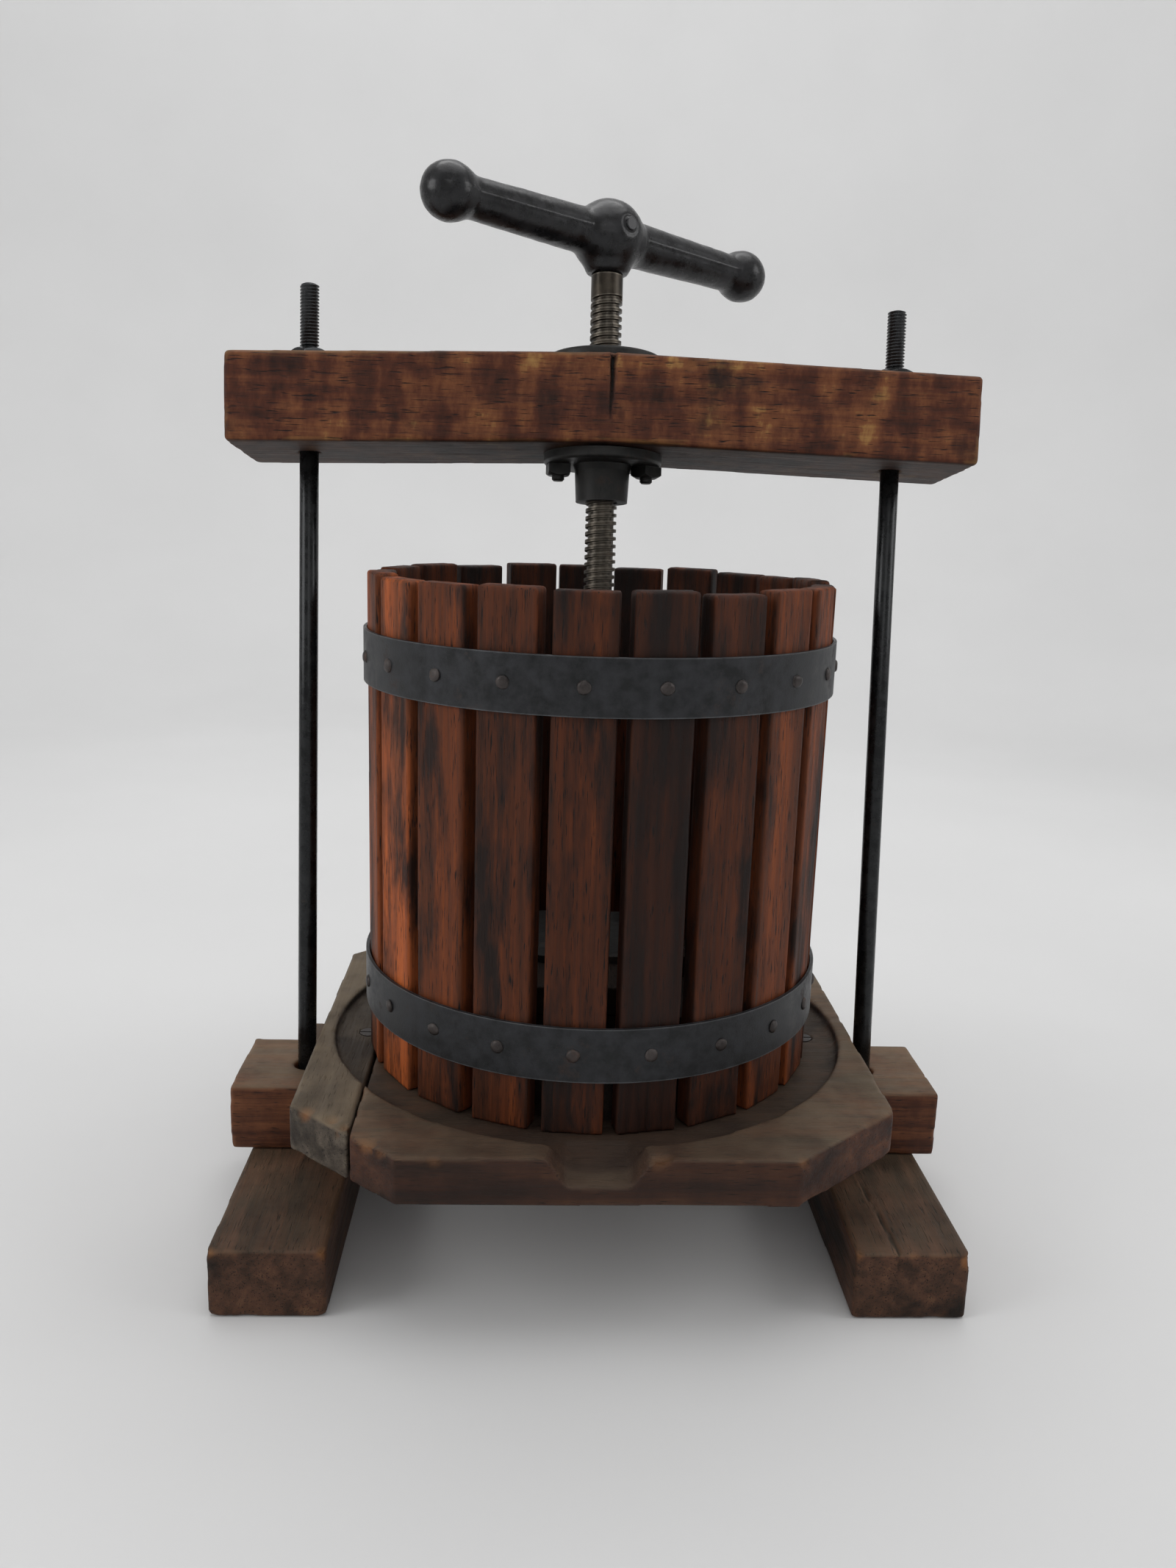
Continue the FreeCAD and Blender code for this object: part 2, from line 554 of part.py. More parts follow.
def make_tray_board(name, side):
    """side is 1 for the main board, right of the joint, and -1 for the left board."""
    body = new_body(name)
    sketch = new_sketch(body, "TrayPlan")
    half_width = f"({TRAY_WIDTH} / 2)"
    half_depth = "Sizes.tray_depth / 2"
    inner_width = f"({half_width} - Sizes.tray_corner_width)"
    inner_depth = f"({half_depth} - Sizes.tray_corner_depth)"
    polygon(
        sketch,
        [
            (half_width, f"-{inner_depth}"),
            (half_width, inner_depth),
            (inner_width, half_depth),
            (f"-{inner_width}", half_depth),
            (f"-{half_width}", inner_depth),
            (f"-{half_width}", f"-{inner_depth}"),
            (f"-{inner_width}", f"-{half_depth}"),
            (inner_width, f"-{half_depth}"),
        ],
    )
    pad(body, sketch, "Sizes.tray_thickness")
    joint = "(-Sizes.tray_joint_place)"
    edge = f"({joint} + {side} * Sizes.tray_joint_gap / 2)"
    away = f"({edge} - {side} * 2 * {TRAY_WIDTH})"
    sketch = new_sketch(body, "OtherBoard")
    polygon(
        sketch,
        [
            (edge, "-Sizes.tray_depth"),
            (edge, "Sizes.tray_depth"),
            (away, "Sizes.tray_depth"),
            (away, "-Sizes.tray_depth"),
        ],
    )
    pocket(body, sketch, reverse=True)
    thickness = size("tray_thickness")
    joint_x = -size("tray_joint_place") + side * size("tray_joint_gap") / 2

    def rim(edge):
        middle = edge.CenterOfMass
        level = min(abs(middle.z), abs(middle.z - thickness)) < 0.01
        return level and abs(middle.x - joint_x) > 0.1

    round_edges(body, "Sizes.tray_edge", rim)
    sketch = new_sketch(body, "Recess", offset=["0", "0", "Sizes.tray_thickness"])
    circle(sketch, RECESS_RADIUS)
    pocket(body, sketch, "Sizes.recess_depth")
    if side == 1:
        cut_spout(body)
    left_screw, *main_screws = tray_screw_places()
    for centre in main_screws if side == 1 else [left_screw]:
        cut_screw_seat(body, centre)
    cut_dowel_holes(body)
    return place(body, "0", "0", STAND_TOP)


def cut_spout(body):
    """A notch with slanted sides whose floor falls towards the tray's front."""
    fall = "atan((Sizes.spout_depth - Sizes.recess_depth) / Sizes.spout_length)"
    sketch = new_sketch(
        body,
        "Spout",
        "XZ_Plane",
        offset=["0", "Sizes.tray_thickness - Sizes.spout_depth", "Sizes.tray_depth / 2"],
        turn_axis=Vector(1, 0, 0),
        turn=fall,
    )
    flare = "((Sizes.spout_top_width - Sizes.spout_floor_width) / 2 / Sizes.spout_depth)"
    top = "(Sizes.spout_depth * 2)"
    wide = f"(Sizes.spout_floor_width / 2 + {flare} * {top})"
    narrow = "Sizes.spout_floor_width / 2"
    polygon(sketch, [(f"-{narrow}", "0"), (narrow, "0"), (wide, top), (f"-{wide}", top)])
    pocket(body, sketch, "Sizes.spout_length * 2", midplane=True)


def cut_screw_seat(body, centre):
    floor = "Sizes.tray_thickness - Sizes.recess_depth"
    sketch = new_sketch(body, "ScrewHole", offset=["0", "Sizes.cross_beam_shift", "0"])
    circle(sketch, f"Sizes.tray_screw_shank / 2 + {FIT}", centre)
    pocket(body, sketch, reverse=True)
    sketch = new_sketch(body, "ScrewHead", offset=["0", "Sizes.cross_beam_shift", floor])
    circle(sketch, f"Sizes.tray_screw_head / 2 + {FIT}", centre)
    pocket(body, sketch, "Sizes.tray_screw_head / 2")


def cut_dowel_holes(body):
    """Level holes for the dowels, from the joint into this board."""
    middle = "(Sizes.tray_thickness - Sizes.recess_depth) / 2"
    sketch = new_sketch(
        body, "DowelHoles", "YZ_Plane", offset=["0", "0", "-Sizes.tray_joint_place"]
    )
    for across in ("-Sizes.dowel_spacing / 2", "Sizes.dowel_spacing / 2"):
        circle(sketch, f"Sizes.dowel_diameter / 2 + {FIT}", across, middle)
    pocket(body, sketch, "Sizes.dowel_length + Sizes.cut_overrun", midplane=True)


def make_dowels():
    body = new_body("tray_dowels")
    body.AllowCompound = True
    sketch = new_sketch(body, "Dowels", "YZ_Plane")
    for across in ("-Sizes.dowel_spacing / 2", "Sizes.dowel_spacing / 2"):
        circle(sketch, "Sizes.dowel_diameter / 2", across)
    pad(body, sketch, "Sizes.dowel_length", midplane=True)
    height = f"{STAND_TOP} + (Sizes.tray_thickness - Sizes.recess_depth) / 2"
    return place(body, "-Sizes.tray_joint_place", "0", height)


def make_tray_screws():
    """Flat-headed screws through the tray's floor into the cross beam, with slotted heads."""
    screws = []
    for k, centre in enumerate(tray_screw_places()):
        body = new_body(f"tray_screw_{k + 1}")
        sketch = new_sketch(body, "ScrewProfile", "XZ_Plane")
        head = "Sizes.tray_screw_head / 2"
        shank = "Sizes.tray_screw_shank / 2"
        polygon(
            sketch,
            [
                ("0", "0"),
                (head, "0"),
                (head, "-Sizes.tray_screw_land"),
                (shank, f"-{head}"),
                (shank, "-(Sizes.tray_screw_length - Sizes.tray_screw_point)"),
                ("0", "-Sizes.tray_screw_length"),
            ],
        )
        revolve(body, sketch)
        sketch = new_sketch(body, "Slot")
        rectangle(sketch, "(Sizes.tray_screw_head + Sizes.cut_overrun)", "Sizes.slot_width")
        pocket(body, sketch, "Sizes.slot_depth")
        screws.append(place(body, centre))
    group = gather("tray_screws", screws)
    return place(group, "0", "Sizes.cross_beam_shift", TRAY_FLOOR)


# ---------------------------------------------------------------- the rods and their nuts


def make_rod(name, side, reach):
    body = new_body(name)
    bottom = (
        f"({LOWER_SEAT} - Sizes.rod_washer_thickness - Sizes.rod_nut_height"
        " - Sizes.rod_end_reach)"
    )
    sketch = new_sketch(body, "RodSection", offset=["0", "0", bottom])
    circle(sketch, ROD_RADIUS, f"{side} * {ROD_PLACE}")
    pad(body, sketch, f"{BEAM_TOP} + {reach} - {bottom}")
    round_edges(body, "Sizes.rod_end_chamfer", lambda edge: edge.isClosed(), "PartDesign::Chamfer")
    return lean(body)


def square_nut(name, across, height, bore, x="0", z="0", turn=None, crowned_up=True):
    """A square nut whose corners are turned off on one side, standing on z."""
    body = new_body(name)
    flats = new_sketch(body, "Flats")
    rectangle(flats, across, across)
    pad(body, flats, height)
    hole = new_sketch(body, "Bore")
    circle(hole, bore)
    pocket(body, hole, reverse=True)
    crown = new_sketch(body, "Crown", "XZ_Plane")
    inner = f"({across} * {NUT_CROWN_START})"
    outer = f"({across} * {NUT_CROWN_END})"
    drop = f"({outer} - {inner}) * tan({NUT_CROWN_ANGLE})"
    rim, face, beyond = height, f"{height} - {drop}", f"{height} + Sizes.cut_overrun"
    if not crowned_up:
        rim, face, beyond = "0", drop, "-Sizes.cut_overrun"
    polygon(crown, [(inner, rim), (outer, face), (outer, beyond), (inner, beyond)])
    groove = body.newObject("PartDesign::Groove", "Groove")
    groove.Profile = crown
    groove.ReferenceAxis = (crown, ["V_Axis"])
    groove.Angle = 360
    doc.recompute()
    if turn is not None:
        turn_about_z(body, turn)
    return place(body, x, "0", z)


def nut_group(name, spacing, seat, across, height, bore, turns, crowned_up):
    nuts = []
    for side, turn in zip((-1, 1), turns):
        x = f"{side} * {spacing} / 2"
        half = f"{name}_{'left' if side < 0 else 'right'}"
        nuts.append(square_nut(half, across, height, bore, x, seat, turn, crowned_up))
    return lean(gather(name, nuts))


def make_rod_nuts():
    bore = f"{ROD_RADIUS} + Sizes.thread_clearance"
    across = "Sizes.rod_nut_across"
    height = "Sizes.rod_nut_height"
    spacing = "Sizes.rod_spacing"
    low = f"{LOWER_SEAT} - Sizes.rod_washer_thickness - {height}"
    upper = nut_group(
        "rod_nuts_upper", spacing, UPPER_SEAT, across, height, bore, ("42", "18"), True
    )
    lower = nut_group("rod_nuts_lower", spacing, low, across, height, bore, ("12", "60"), False)
    return [upper, lower]


def make_rod_washers():
    body = new_body("rod_washers")
    body.AllowCompound = True
    low = f"{LOWER_SEAT} - Sizes.rod_washer_thickness"
    sketch = new_sketch(body, "Washers", offset=["0", "0", low])
    for side in (-1, 1):
        centre = f"{side} * {ROD_PLACE}"
        circle(sketch, WASHER_RADIUS, centre)
        circle(sketch, f"{ROD_RADIUS} + Sizes.rod_washer_play", centre)
    pad(body, sketch, "Sizes.rod_washer_thickness")
    return lean(body)


# ---------------------------------------------------------------- the head beam


def make_head_beam():
    body = new_body("head_beam")
    sketch = new_sketch(body, "BeamSide", "XZ_Plane")
    half = f"({BEAM_LENGTH} / 2)"
    fall = f"({half} * {BOW_SLOPE})"
    polygon(
        sketch,
        [
            ("0", "Sizes.beam_underside"),
            (half, f"Sizes.beam_underside - {fall}"),
            (half, f"{BEAM_TOP} - {fall}"),
            ("0", BEAM_TOP),
            (f"-{half}", f"{BEAM_TOP} - {fall}"),
            (f"-{half}", f"Sizes.beam_underside - {fall}"),
        ],
    )
    pad(body, sketch, "Sizes.beam_depth", midplane=True)
    depth = size("beam_depth") / 2

    def outer_edge(edge):
        on_face = all(abs(abs(v.Point.y) - depth) < 0.01 for v in edge.Vertexes)
        upright = abs(edge.Vertexes[0].Point.x - edge.Vertexes[-1].Point.x) < 1
        at_middle = abs(edge.CenterOfMass.x) < 1
        return (on_face and not upright) or (upright and not at_middle)

    round_edges(body, "Sizes.beam_edge", outer_edge)
    at_rods = [f"-{ROD_PLACE}", ROD_PLACE]
    at_bolts = [f"-{BOLT_PLACE}", BOLT_PLACE]
    through = [
        ("ScrewHole", ["0"], f"{SCREW_RADIUS} + Sizes.beam_screw_play"),
        ("BoltHoles", at_bolts, BOLT_HOLE),
        ("RodHoles", at_rods, f"{ROD_RADIUS} + Sizes.beam_rod_play"),
    ]
    for name, centres, radius in through:
        sketch = new_sketch(body, name)
        for centre in centres:
            circle(sketch, radius, centre)
        pocket(body, sketch, reverse=True)
    nut_seat = "Sizes.rod_nut_across / sqrt(2) + Sizes.nut_seat_play"
    plate_seat = "Sizes.plate_diameter / 2 + Sizes.plate_seat_play"
    seats = [
        ("NutSeats", at_rods, nut_seat, UPPER_SEAT),
        ("PlateSeat", ["0"], plate_seat, PLATE_SEAT),
    ]
    for name, centres, radius, height in seats:
        sketch = new_sketch(body, name, offset=["0", "0", height])
        for centre in centres:
            circle(sketch, radius, centre)
        pocket(body, sketch, reverse=True)
    cut_crack(body)
    return lean(body)


def cut_crack(body):
    """A wedge-shaped crack in the front face, from the top edge down, into the screw's hole."""
    front = "(Sizes.beam_depth / 2 + Sizes.cut_overrun)"
    sketch = new_sketch(body, "Crack", "XZ_Plane", offset=["0", "0", front])
    left = "Sizes.crack_place"
    top = f"({BEAM_TOP} + Sizes.cut_overrun)"
    foot = f"({BEAM_TOP} - Sizes.crack_height)"
    polygon(
        sketch,
        [
            (left, top),
            (f"{left} + Sizes.crack_width * Sizes.crack_lean", foot),
            (f"{left} + Sizes.crack_width", top),
        ],
    )
    pocket(body, sketch, f"{front} - {SCREW_RADIUS} / 2")


def make_screw_nut():
    """The nut casting: a round flange against the beam with a boss below it."""
    body = new_body("screw_nut")
    sketch = new_sketch(body, "NutProfile", "XZ_Plane")
    bore = f"{SCREW_RADIUS} + Sizes.screw_clearance"
    foot = f"({FLANGE_SEAT} - Sizes.boss_height)"
    polygon(
        sketch,
        [
            (bore, FLANGE_SEAT),
            (bore, foot),
            ("Sizes.boss_diameter / 2 - Sizes.boss_taper", foot),
            ("Sizes.boss_diameter / 2", f"{FLANGE_FOOT} - Sizes.boss_root_height"),
            ("Sizes.boss_diameter / 2 + Sizes.boss_root", FLANGE_FOOT),
            ("Sizes.flange_diameter / 2", FLANGE_FOOT),
            ("Sizes.flange_diameter / 2", FLANGE_SEAT),
        ],
    )
    revolve(body, sketch)
    radius = size("flange_diameter") / 2
    foot_height = flange_seat_height() - size("flange_thickness")
    level = flat_edge(foot_height)
    round_edges(
        body,
        "Sizes.plate_rim",
        lambda edge: level(edge) and abs(edge.BoundBox.XLength - 2 * radius) < 0.1,
    )
    sketch = new_sketch(body, "BoltHoles")
    for side in (-1, 1):
        circle(sketch, BOLT_HOLE, f"{side} * {BOLT_PLACE}")
    pocket(body, sketch, reverse=True)
    return lean(body)


def flange_seat_height():
    """Where the bowed underside is at the flange's rim: the flange touches the beam there."""
    rim = size("flange_diameter") / 2
    return size("beam_underside") - rim * math.tan(math.radians(size("beam_bow")))


def plate_top_height():
    """The round plate's top in the leaning frame, as a plain number."""
    beam_top = size("beam_underside") + size("beam_height")
    return beam_top + size("plate_thickness") - size("plate_seat_depth")


def make_top_plate():
    body = new_body("top_plate")
    sketch = new_sketch(body, "PlateProfile", "XZ_Plane")
    hole = f"{SCREW_RADIUS} + Sizes.plate_screw_play"
    polygon(
        sketch,
        [
            (hole, PLATE_SEAT),
            ("Sizes.plate_diameter / 2", PLATE_SEAT),
            ("Sizes.plate_diameter / 2", PLATE_TOP),
            (hole, PLATE_TOP),
        ],
    )
    revolve(body, sketch)
    level = flat_edge(plate_top_height())
    width = size("plate_diameter")
    round_edges(
        body,
        "Sizes.plate_rim",
        lambda edge: level(edge) and abs(edge.BoundBox.XLength - width) < 0.1,
    )
    for side in (-1, 1):
        centre = f"{side} * {BOLT_PLACE}"
        sketch = new_sketch(body, "BoltHole")
        circle(sketch, BOLT_HOLE, centre)
        pocket(body, sketch, reverse=True)
        sink_bolt_head(body, centre)
    return lean(body)


def sink_bolt_head(body, centre):
    """A countersink for a bolt head, a little wider than the head."""
    sketch = new_sketch(body, "Countersink", "XZ_Plane")
    wide = f"Sizes.bolt_head_diameter / 2 + {FIT}"
    narrow = "Sizes.bolt_diameter / 2"
    deep = f"{PLATE_TOP} - ({wide} - {narrow})"
    above = f"{PLATE_TOP} + Sizes.cut_overrun"
    polygon(
        sketch,
        [
            (centre, above),
            (centre, deep),
            (f"{centre} + {narrow}", deep),
            (f"{centre} + {wide}", PLATE_TOP),
            (f"{centre} + {wide}", above),
        ],
    )
    axis = sketch.addGeometry(Part.LineSegment(Vector(5, 0, 0), Vector(5, 9, 0)), True)
    for point in (1, 2):
        index = sketch.addConstraint(Sketcher.Constraint("DistanceX", -1, 1, axis, point, 5.0))
        sketch.setExpression(f"Constraints[{index}]", centre)
    sketch.addConstraint(Sketcher.Constraint("DistanceY", -1, 1, axis, 1, 0.5))
    sketch.addConstraint(Sketcher.Constraint("DistanceY", -1, 1, axis, 2, 9.0))
    groove = body.newObject("PartDesign::Groove", "Groove")
    groove.Profile = sketch
    groove.ReferenceAxis = (sketch, ["Axis0"])
    groove.Angle = 360
    doc.recompute()


def make_flange_bolts():
    bolts = []
    foot = f"({FLANGE_FOOT} - Sizes.bolt_nut_height - Sizes.bolt_end_reach)"
    for side in (-1, 1):
        body = new_body(f"flange_bolt_{'left' if side < 0 else 'right'}")
        sketch = new_sketch(body, "BoltProfile", "XZ_Plane")
        head = "Sizes.bolt_head_diameter / 2"
        shank = "Sizes.bolt_diameter / 2"
        polygon(
            sketch,
            [
                ("0", PLATE_TOP),
                (head, PLATE_TOP),
                (shank, f"{PLATE_TOP} - ({head} - {shank})"),
                (shank, f"{foot} + Sizes.bolt_end_bevel"),
                (f"{shank} - Sizes.bolt_end_bevel", foot),
                ("0", foot),
            ],
        )
        revolve(body, sketch)
        sketch = new_sketch(body, "Slot", offset=["0", "0", PLATE_TOP])
        rectangle(sketch, "Sizes.slot_width", "(Sizes.bolt_head_diameter + Sizes.cut_overrun)")
        pocket(body, sketch, "Sizes.slot_depth")
        bolts.append(place(body, f"{side} * {BOLT_PLACE}"))
    return lean(gather("flange_bolts", bolts))


def make_flange_nuts():
    bore = "Sizes.bolt_diameter / 2 + Sizes.thread_clearance"
    seat = f"{FLANGE_FOOT} - Sizes.bolt_nut_height"
    return nut_group(
        "flange_nuts",
        "Sizes.bolt_spacing",
        seat,
        "Sizes.bolt_nut_across",
        "Sizes.bolt_nut_height",
        bore,
        ("8", "38"),
        False,
    )


# ---------------------------------------------------------------- the screw, shoe and handle


def leaning_numbers():
    """The leaning frame's heights that the screw needs, as plain numbers."""
    rake = math.radians(size("frame_rake"))
    wear_top = size("tray_thickness") - size("recess_depth")
    wear_top += size("follower_thickness") + size("batten_height")
    wear_top += size("block_height") + size("wear_plate_thickness")
    nose = (wear_top + size("shoe_gap") + size("nose_radius")) / math.cos(rake)
    return nose + size("nose_drop"), plate_top_height() + size("handle_rise")


def make_press_screw():
    """The screw: spigot, neck, collar, threaded length and the plain end inside the hub."""
    shoe_top, handle_axis = leaning_numbers()
    outer = size("screw_diameter") / 2
    core = outer - size("screw_thread_depth")
    spigot = size("spigot_diameter") / 2
    collar = size("collar_diameter") / 2
    top_end = size("hub_bore") / 2 - size("hub_fit")
    collar_foot = shoe_top + size("neck_height")
    collar_top = collar_foot + size("collar_height")
    hub_foot = handle_axis - size("skirt_height")
    top = handle_axis + size("hub_bore_height") - size("hub_bore_gap")
    groove = spigot - size("spigot_groove_depth")
    pin = size("shoe_pin_diameter") / 2 + size("spigot_groove_play")
    pin_height = shoe_top - size("spigot_depth") / 2
    spigot_end = shoe_top - size("spigot_depth") + size("spigot_end_gap")
    thread_start = collar_top + size("neck_height") / 3
    profile = [
        (0, spigot_end),
        (spigot, spigot_end),
        (spigot, pin_height - pin),
        (groove, pin_height - pin),
        (groove, pin_height + pin),
        (spigot, pin_height + pin),
        (spigot, collar_foot),
        (collar, collar_foot),
        (collar, collar_top),
        (core, collar_top),
        (core, thread_start),
        (outer, thread_start + outer - core),
        (outer, hub_foot),
        (top_end, hub_foot),
        (top_end, top),
        (0, top),
    ]
    outline = Part.makePolygon([Vector(r, 0, z) for r, z in profile + profile[:1]])
    blank = Part.Face(outline).revolve(Vector(0, 0, 0), Vector(0, 0, 1), 360)
    thread_foot = collar_top - size("screw_pitch") / 2
    thread_end = hub_foot - size("screw_plain_length")
    blank = blank.cut(thread_grooves(outer, core, thread_foot, thread_end)).Solids[0]
    # the hole for the handle's cross pin
    direction = pin_direction()
    reach = size("hub_diameter")
    hole = Part.makeCylinder(
        size("handle_pin_diameter") / 2 + size("hub_fit"),
        reach,
        Vector(0, 0, handle_axis + size("handle_pin_rise")) - direction * (reach / 2),
        direction,
    )
    blank = blank.cut(hole)
    return lean_shape("press_screw", blank)


def thread_grooves(outer, core, foot, end):
    """The helical groove between the threads, wider at its mouth than at its floor.

    A helix of many turns drifts off its cylinder, so the groove is made in blocks of a few
    turns. Every second block is a hair larger, and the blocks between run into it at both ends.
    """
    pitch = size("screw_pitch")
    turns = math.floor((end - foot) / pitch)
    block = int(size("thread_block"))
    grooves = []
    for number, start in enumerate(range(0, turns, block)):
        stop = min(start + block, turns)
        if number % 2:
            lap = size("thread_block_lap")
            grooves.append(thread_groove(outer, core, foot, start - lap, min(stop + lap, turns), 0))
        else:
            growth = size("thread_block_growth")
            grooves.append(thread_groove(outer, core, foot, start, stop, growth))
    return grooves


def thread_groove(outer, core, foot, start, stop, growth):
    """One block of the groove, between two counts of turns, larger all round by growth."""
    pitch = size("screw_pitch")
    mouth = pitch * size("thread_mouth") + growth
    floor = pitch * size("thread_floor") + growth
    beyond = outer + size("screw_clearance") * 2 + growth
    corners = [
        Vector(beyond, 0, -mouth),
        Vector(core - growth, 0, -floor),
        Vector(core - growth, 0, floor),
        Vector(beyond, 0, mouth),
    ]
    helix = Part.makeHelix(pitch, pitch * (stop - start), outer)
    sweep = Part.BRepOffsetAPI.MakePipeShell(Part.Wire(helix.Edges))
    sweep.setFrenetMode(True)
    sweep.add(Part.makePolygon(corners + corners[:1]))
    sweep.build()
    sweep.makeSolid()
    groove = sweep.shape()
    groove.rotate(Vector(0, 0, 0), Vector(0, 0, 1), 360 * start)
    groove.translate(Vector(0, 0, foot + pitch * start))
    return groove


def pin_direction():
    """The cross pin lies level in the leaning frame, square to the handle bar."""
    turn = math.radians(size("handle_turn") - 90)
    return Vector(math.cos(turn), math.sin(turn), 0)


def lean_shape(name, shape):
    piece = doc.addObject("Part::Feature", name)
    piece.Label = name
    piece.Shape = shape
    return lean(piece)


def make_shoe():
    body = new_body("thrust_shoe")
    sketch = new_sketch(body, "ShoeProfile", "XZ_Plane")
    bore = "Sizes.spigot_diameter / 2 + Sizes.spigot_clearance"
    rim = "Sizes.shoe_diameter / 2"
    low = f"({SHOE_TOP} - Sizes.shoe_height)"
    bore_floor = f"({SHOE_TOP} - Sizes.spigot_depth)"
    polygon(
        sketch,
        [
            ("0", bore_floor),
            (bore, bore_floor),
            (bore, SHOE_TOP),
            (rim, SHOE_TOP),
            (rim, low),
            ("0", low),
        ],
    )
    revolve(body, sketch)
    nose = body.newObject("PartDesign::AdditiveSphere", "Nose")
    nose.AttachmentSupport = [(origin_part(body, "XY_Plane"), "")]
    nose.MapMode = "FlatFace"
    nose.setExpression("AttachmentOffset.Base.z", NOSE_CENTRE)
    nose.setExpression("Radius", "Sizes.nose_radius")
    nose.Angle2 = 0
    doc.recompute()
    sketch = new_sketch(body, "Bore", offset=["0", "0", SHOE_TOP])
    circle(sketch, bore)
    pocket(body, sketch, "Sizes.spigot_depth")
    sketch = new_sketch(body, "PinHole", "XZ_Plane")
    circle(sketch, f"Sizes.shoe_pin_diameter / 2 + {FIT}", *SHOE_PIN_PLACE)
    pocket(body, sketch, "Sizes.shoe_diameter * 2", midplane=True)
    return lean(body)


def make_shoe_pin():
    body = new_body("shoe_pin")
    sketch = new_sketch(body, "PinSection", "XZ_Plane")
    circle(sketch, "Sizes.shoe_pin_diameter / 2", *SHOE_PIN_PLACE)
    pad(body, sketch, "Sizes.shoe_diameter - 2 * Sizes.shoe_pin_short", midplane=True)
    return lean(body)


def add_ball(body, name, along, radius):
    """A sphere on the handle's bar, with its poles on the bar."""
    ball = body.newObject("PartDesign::AdditiveSphere", name)
    ball.AttachmentSupport = [(origin_part(body, "YZ_Plane"), "")]
    ball.MapMode = "FlatFace"
    rotation = FreeCAD.Rotation(Vector(0, 1, 0), 10)
    ball.AttachmentOffset = FreeCAD.Placement(Vector(0, 0, 0), rotation)
    ball.setExpression("AttachmentOffset.Rotation.Angle", "Sizes.handle_turn")
    ball.setExpression("AttachmentOffset.Base.x", f"{along} * sin(Sizes.handle_turn)")
    ball.setExpression("AttachmentOffset.Base.y", HANDLE_AXIS)
    ball.setExpression("AttachmentOffset.Base.z", f"{along} * cos(Sizes.handle_turn)")
    ball.setExpression("Radius", radius)
    doc.recompute()


def make_handle():
    """A cast bar with ball ends, thickest at the hub, with a short skirt round the screw."""
    body = new_body("handle")
    arm = new_sketch(
        body,
        "Arms",
        "XZ_Plane",
        offset=["0", HANDLE_AXIS, "0"],
        turn_axis=Vector(0, 1, 0),
        turn="Sizes.handle_turn",
    )
    reach = "Sizes.handle_reach"
    polygon(
        arm,
        [
            (f"-{reach}", "0"),
            (reach, "0"),
            (reach, "Sizes.arm_tip_diameter / 2"),
            ("0", "Sizes.arm_root_diameter / 2"),
            (f"-{reach}", "Sizes.arm_tip_diameter / 2"),
        ],
    )
    revolve(body, arm, "H_Axis")
    spheres = [
        ("LeftBall", f"-{reach}", "Sizes.ball_diameter / 2"),
        ("RightBall", reach, "Sizes.ball_diameter / 2"),
        ("Hub", "0", "Sizes.hub_diameter / 2"),
    ]
    for name, along, radius in spheres:
        add_ball(body, name, along, radius)
    bar = FreeCAD.Rotation(Vector(0, 0, 1), size("handle_turn")).multVec(Vector(1, 0, 0))

    def at_junction(edge):
        """Edges square to the bar: where an arm runs into a ball or into the hub."""
        if edge.Degenerated:
            return False
        along = [point.dot(bar) for point in edge.discretize(5)]
        return max(along) - min(along) < 0.01

    round_edges(body, "Sizes.hub_blend", at_junction)
    skirt = new_sketch(body, "Skirt", "XZ_Plane", offset=["0", HANDLE_AXIS, "0"])
    polygon(
        skirt,
        [
            ("0", "0"),
            ("Sizes.skirt_diameter / 2", "0"),
            ("Sizes.skirt_diameter / 2", "-Sizes.arm_root_diameter / 2"),
            ("Sizes.skirt_end_diameter / 2", "-Sizes.skirt_height"),
            ("0", "-Sizes.skirt_height"),
        ],
    )
    revolve(body, skirt)
    bore = new_sketch(body, "Bore", offset=["0", "0", f"{HANDLE_AXIS} + Sizes.hub_bore_height"])
    circle(bore, "Sizes.hub_bore / 2")
    pocket(body, bore)
    pin = new_sketch(body, "PinHole", "XZ_Plane", **pin_sketch())
    circle(pin, "Sizes.handle_pin_diameter / 2 + Sizes.hub_fit")
    pocket(body, pin, "Sizes.hub_diameter * 2", midplane=True)
    return lean(body)


def pin_sketch():
    """Where the cross pin's section is drawn: a plane along the bar, at the pin's height."""
    return {
        "offset": ["0", f"{HANDLE_AXIS} + Sizes.handle_pin_rise", "0"],
        "turn_axis": Vector(0, 1, 0),
        "turn": "Sizes.handle_turn",
    }


def make_handle_pin():
    body = new_body("handle_pin")
    sketch = new_sketch(body, "PinSection", "XZ_Plane", **pin_sketch())
    circle(sketch, "Sizes.handle_pin_diameter / 2")
    pad(body, sketch, "Sizes.hub_diameter + 2 * Sizes.handle_pin_proud", midplane=True)
    round_edges(body, "Sizes.handle_pin_edge", lambda edge: edge.isClosed())
    return lean(body)


# ---------------------------------------------------------------- the basket


def stave_angle(number):
    """A stave's direction from the basket's axis, in degrees from +X."""
    return f"Sizes.basket_turn - 90 + {number} * 360 / Sizes.stave_count"


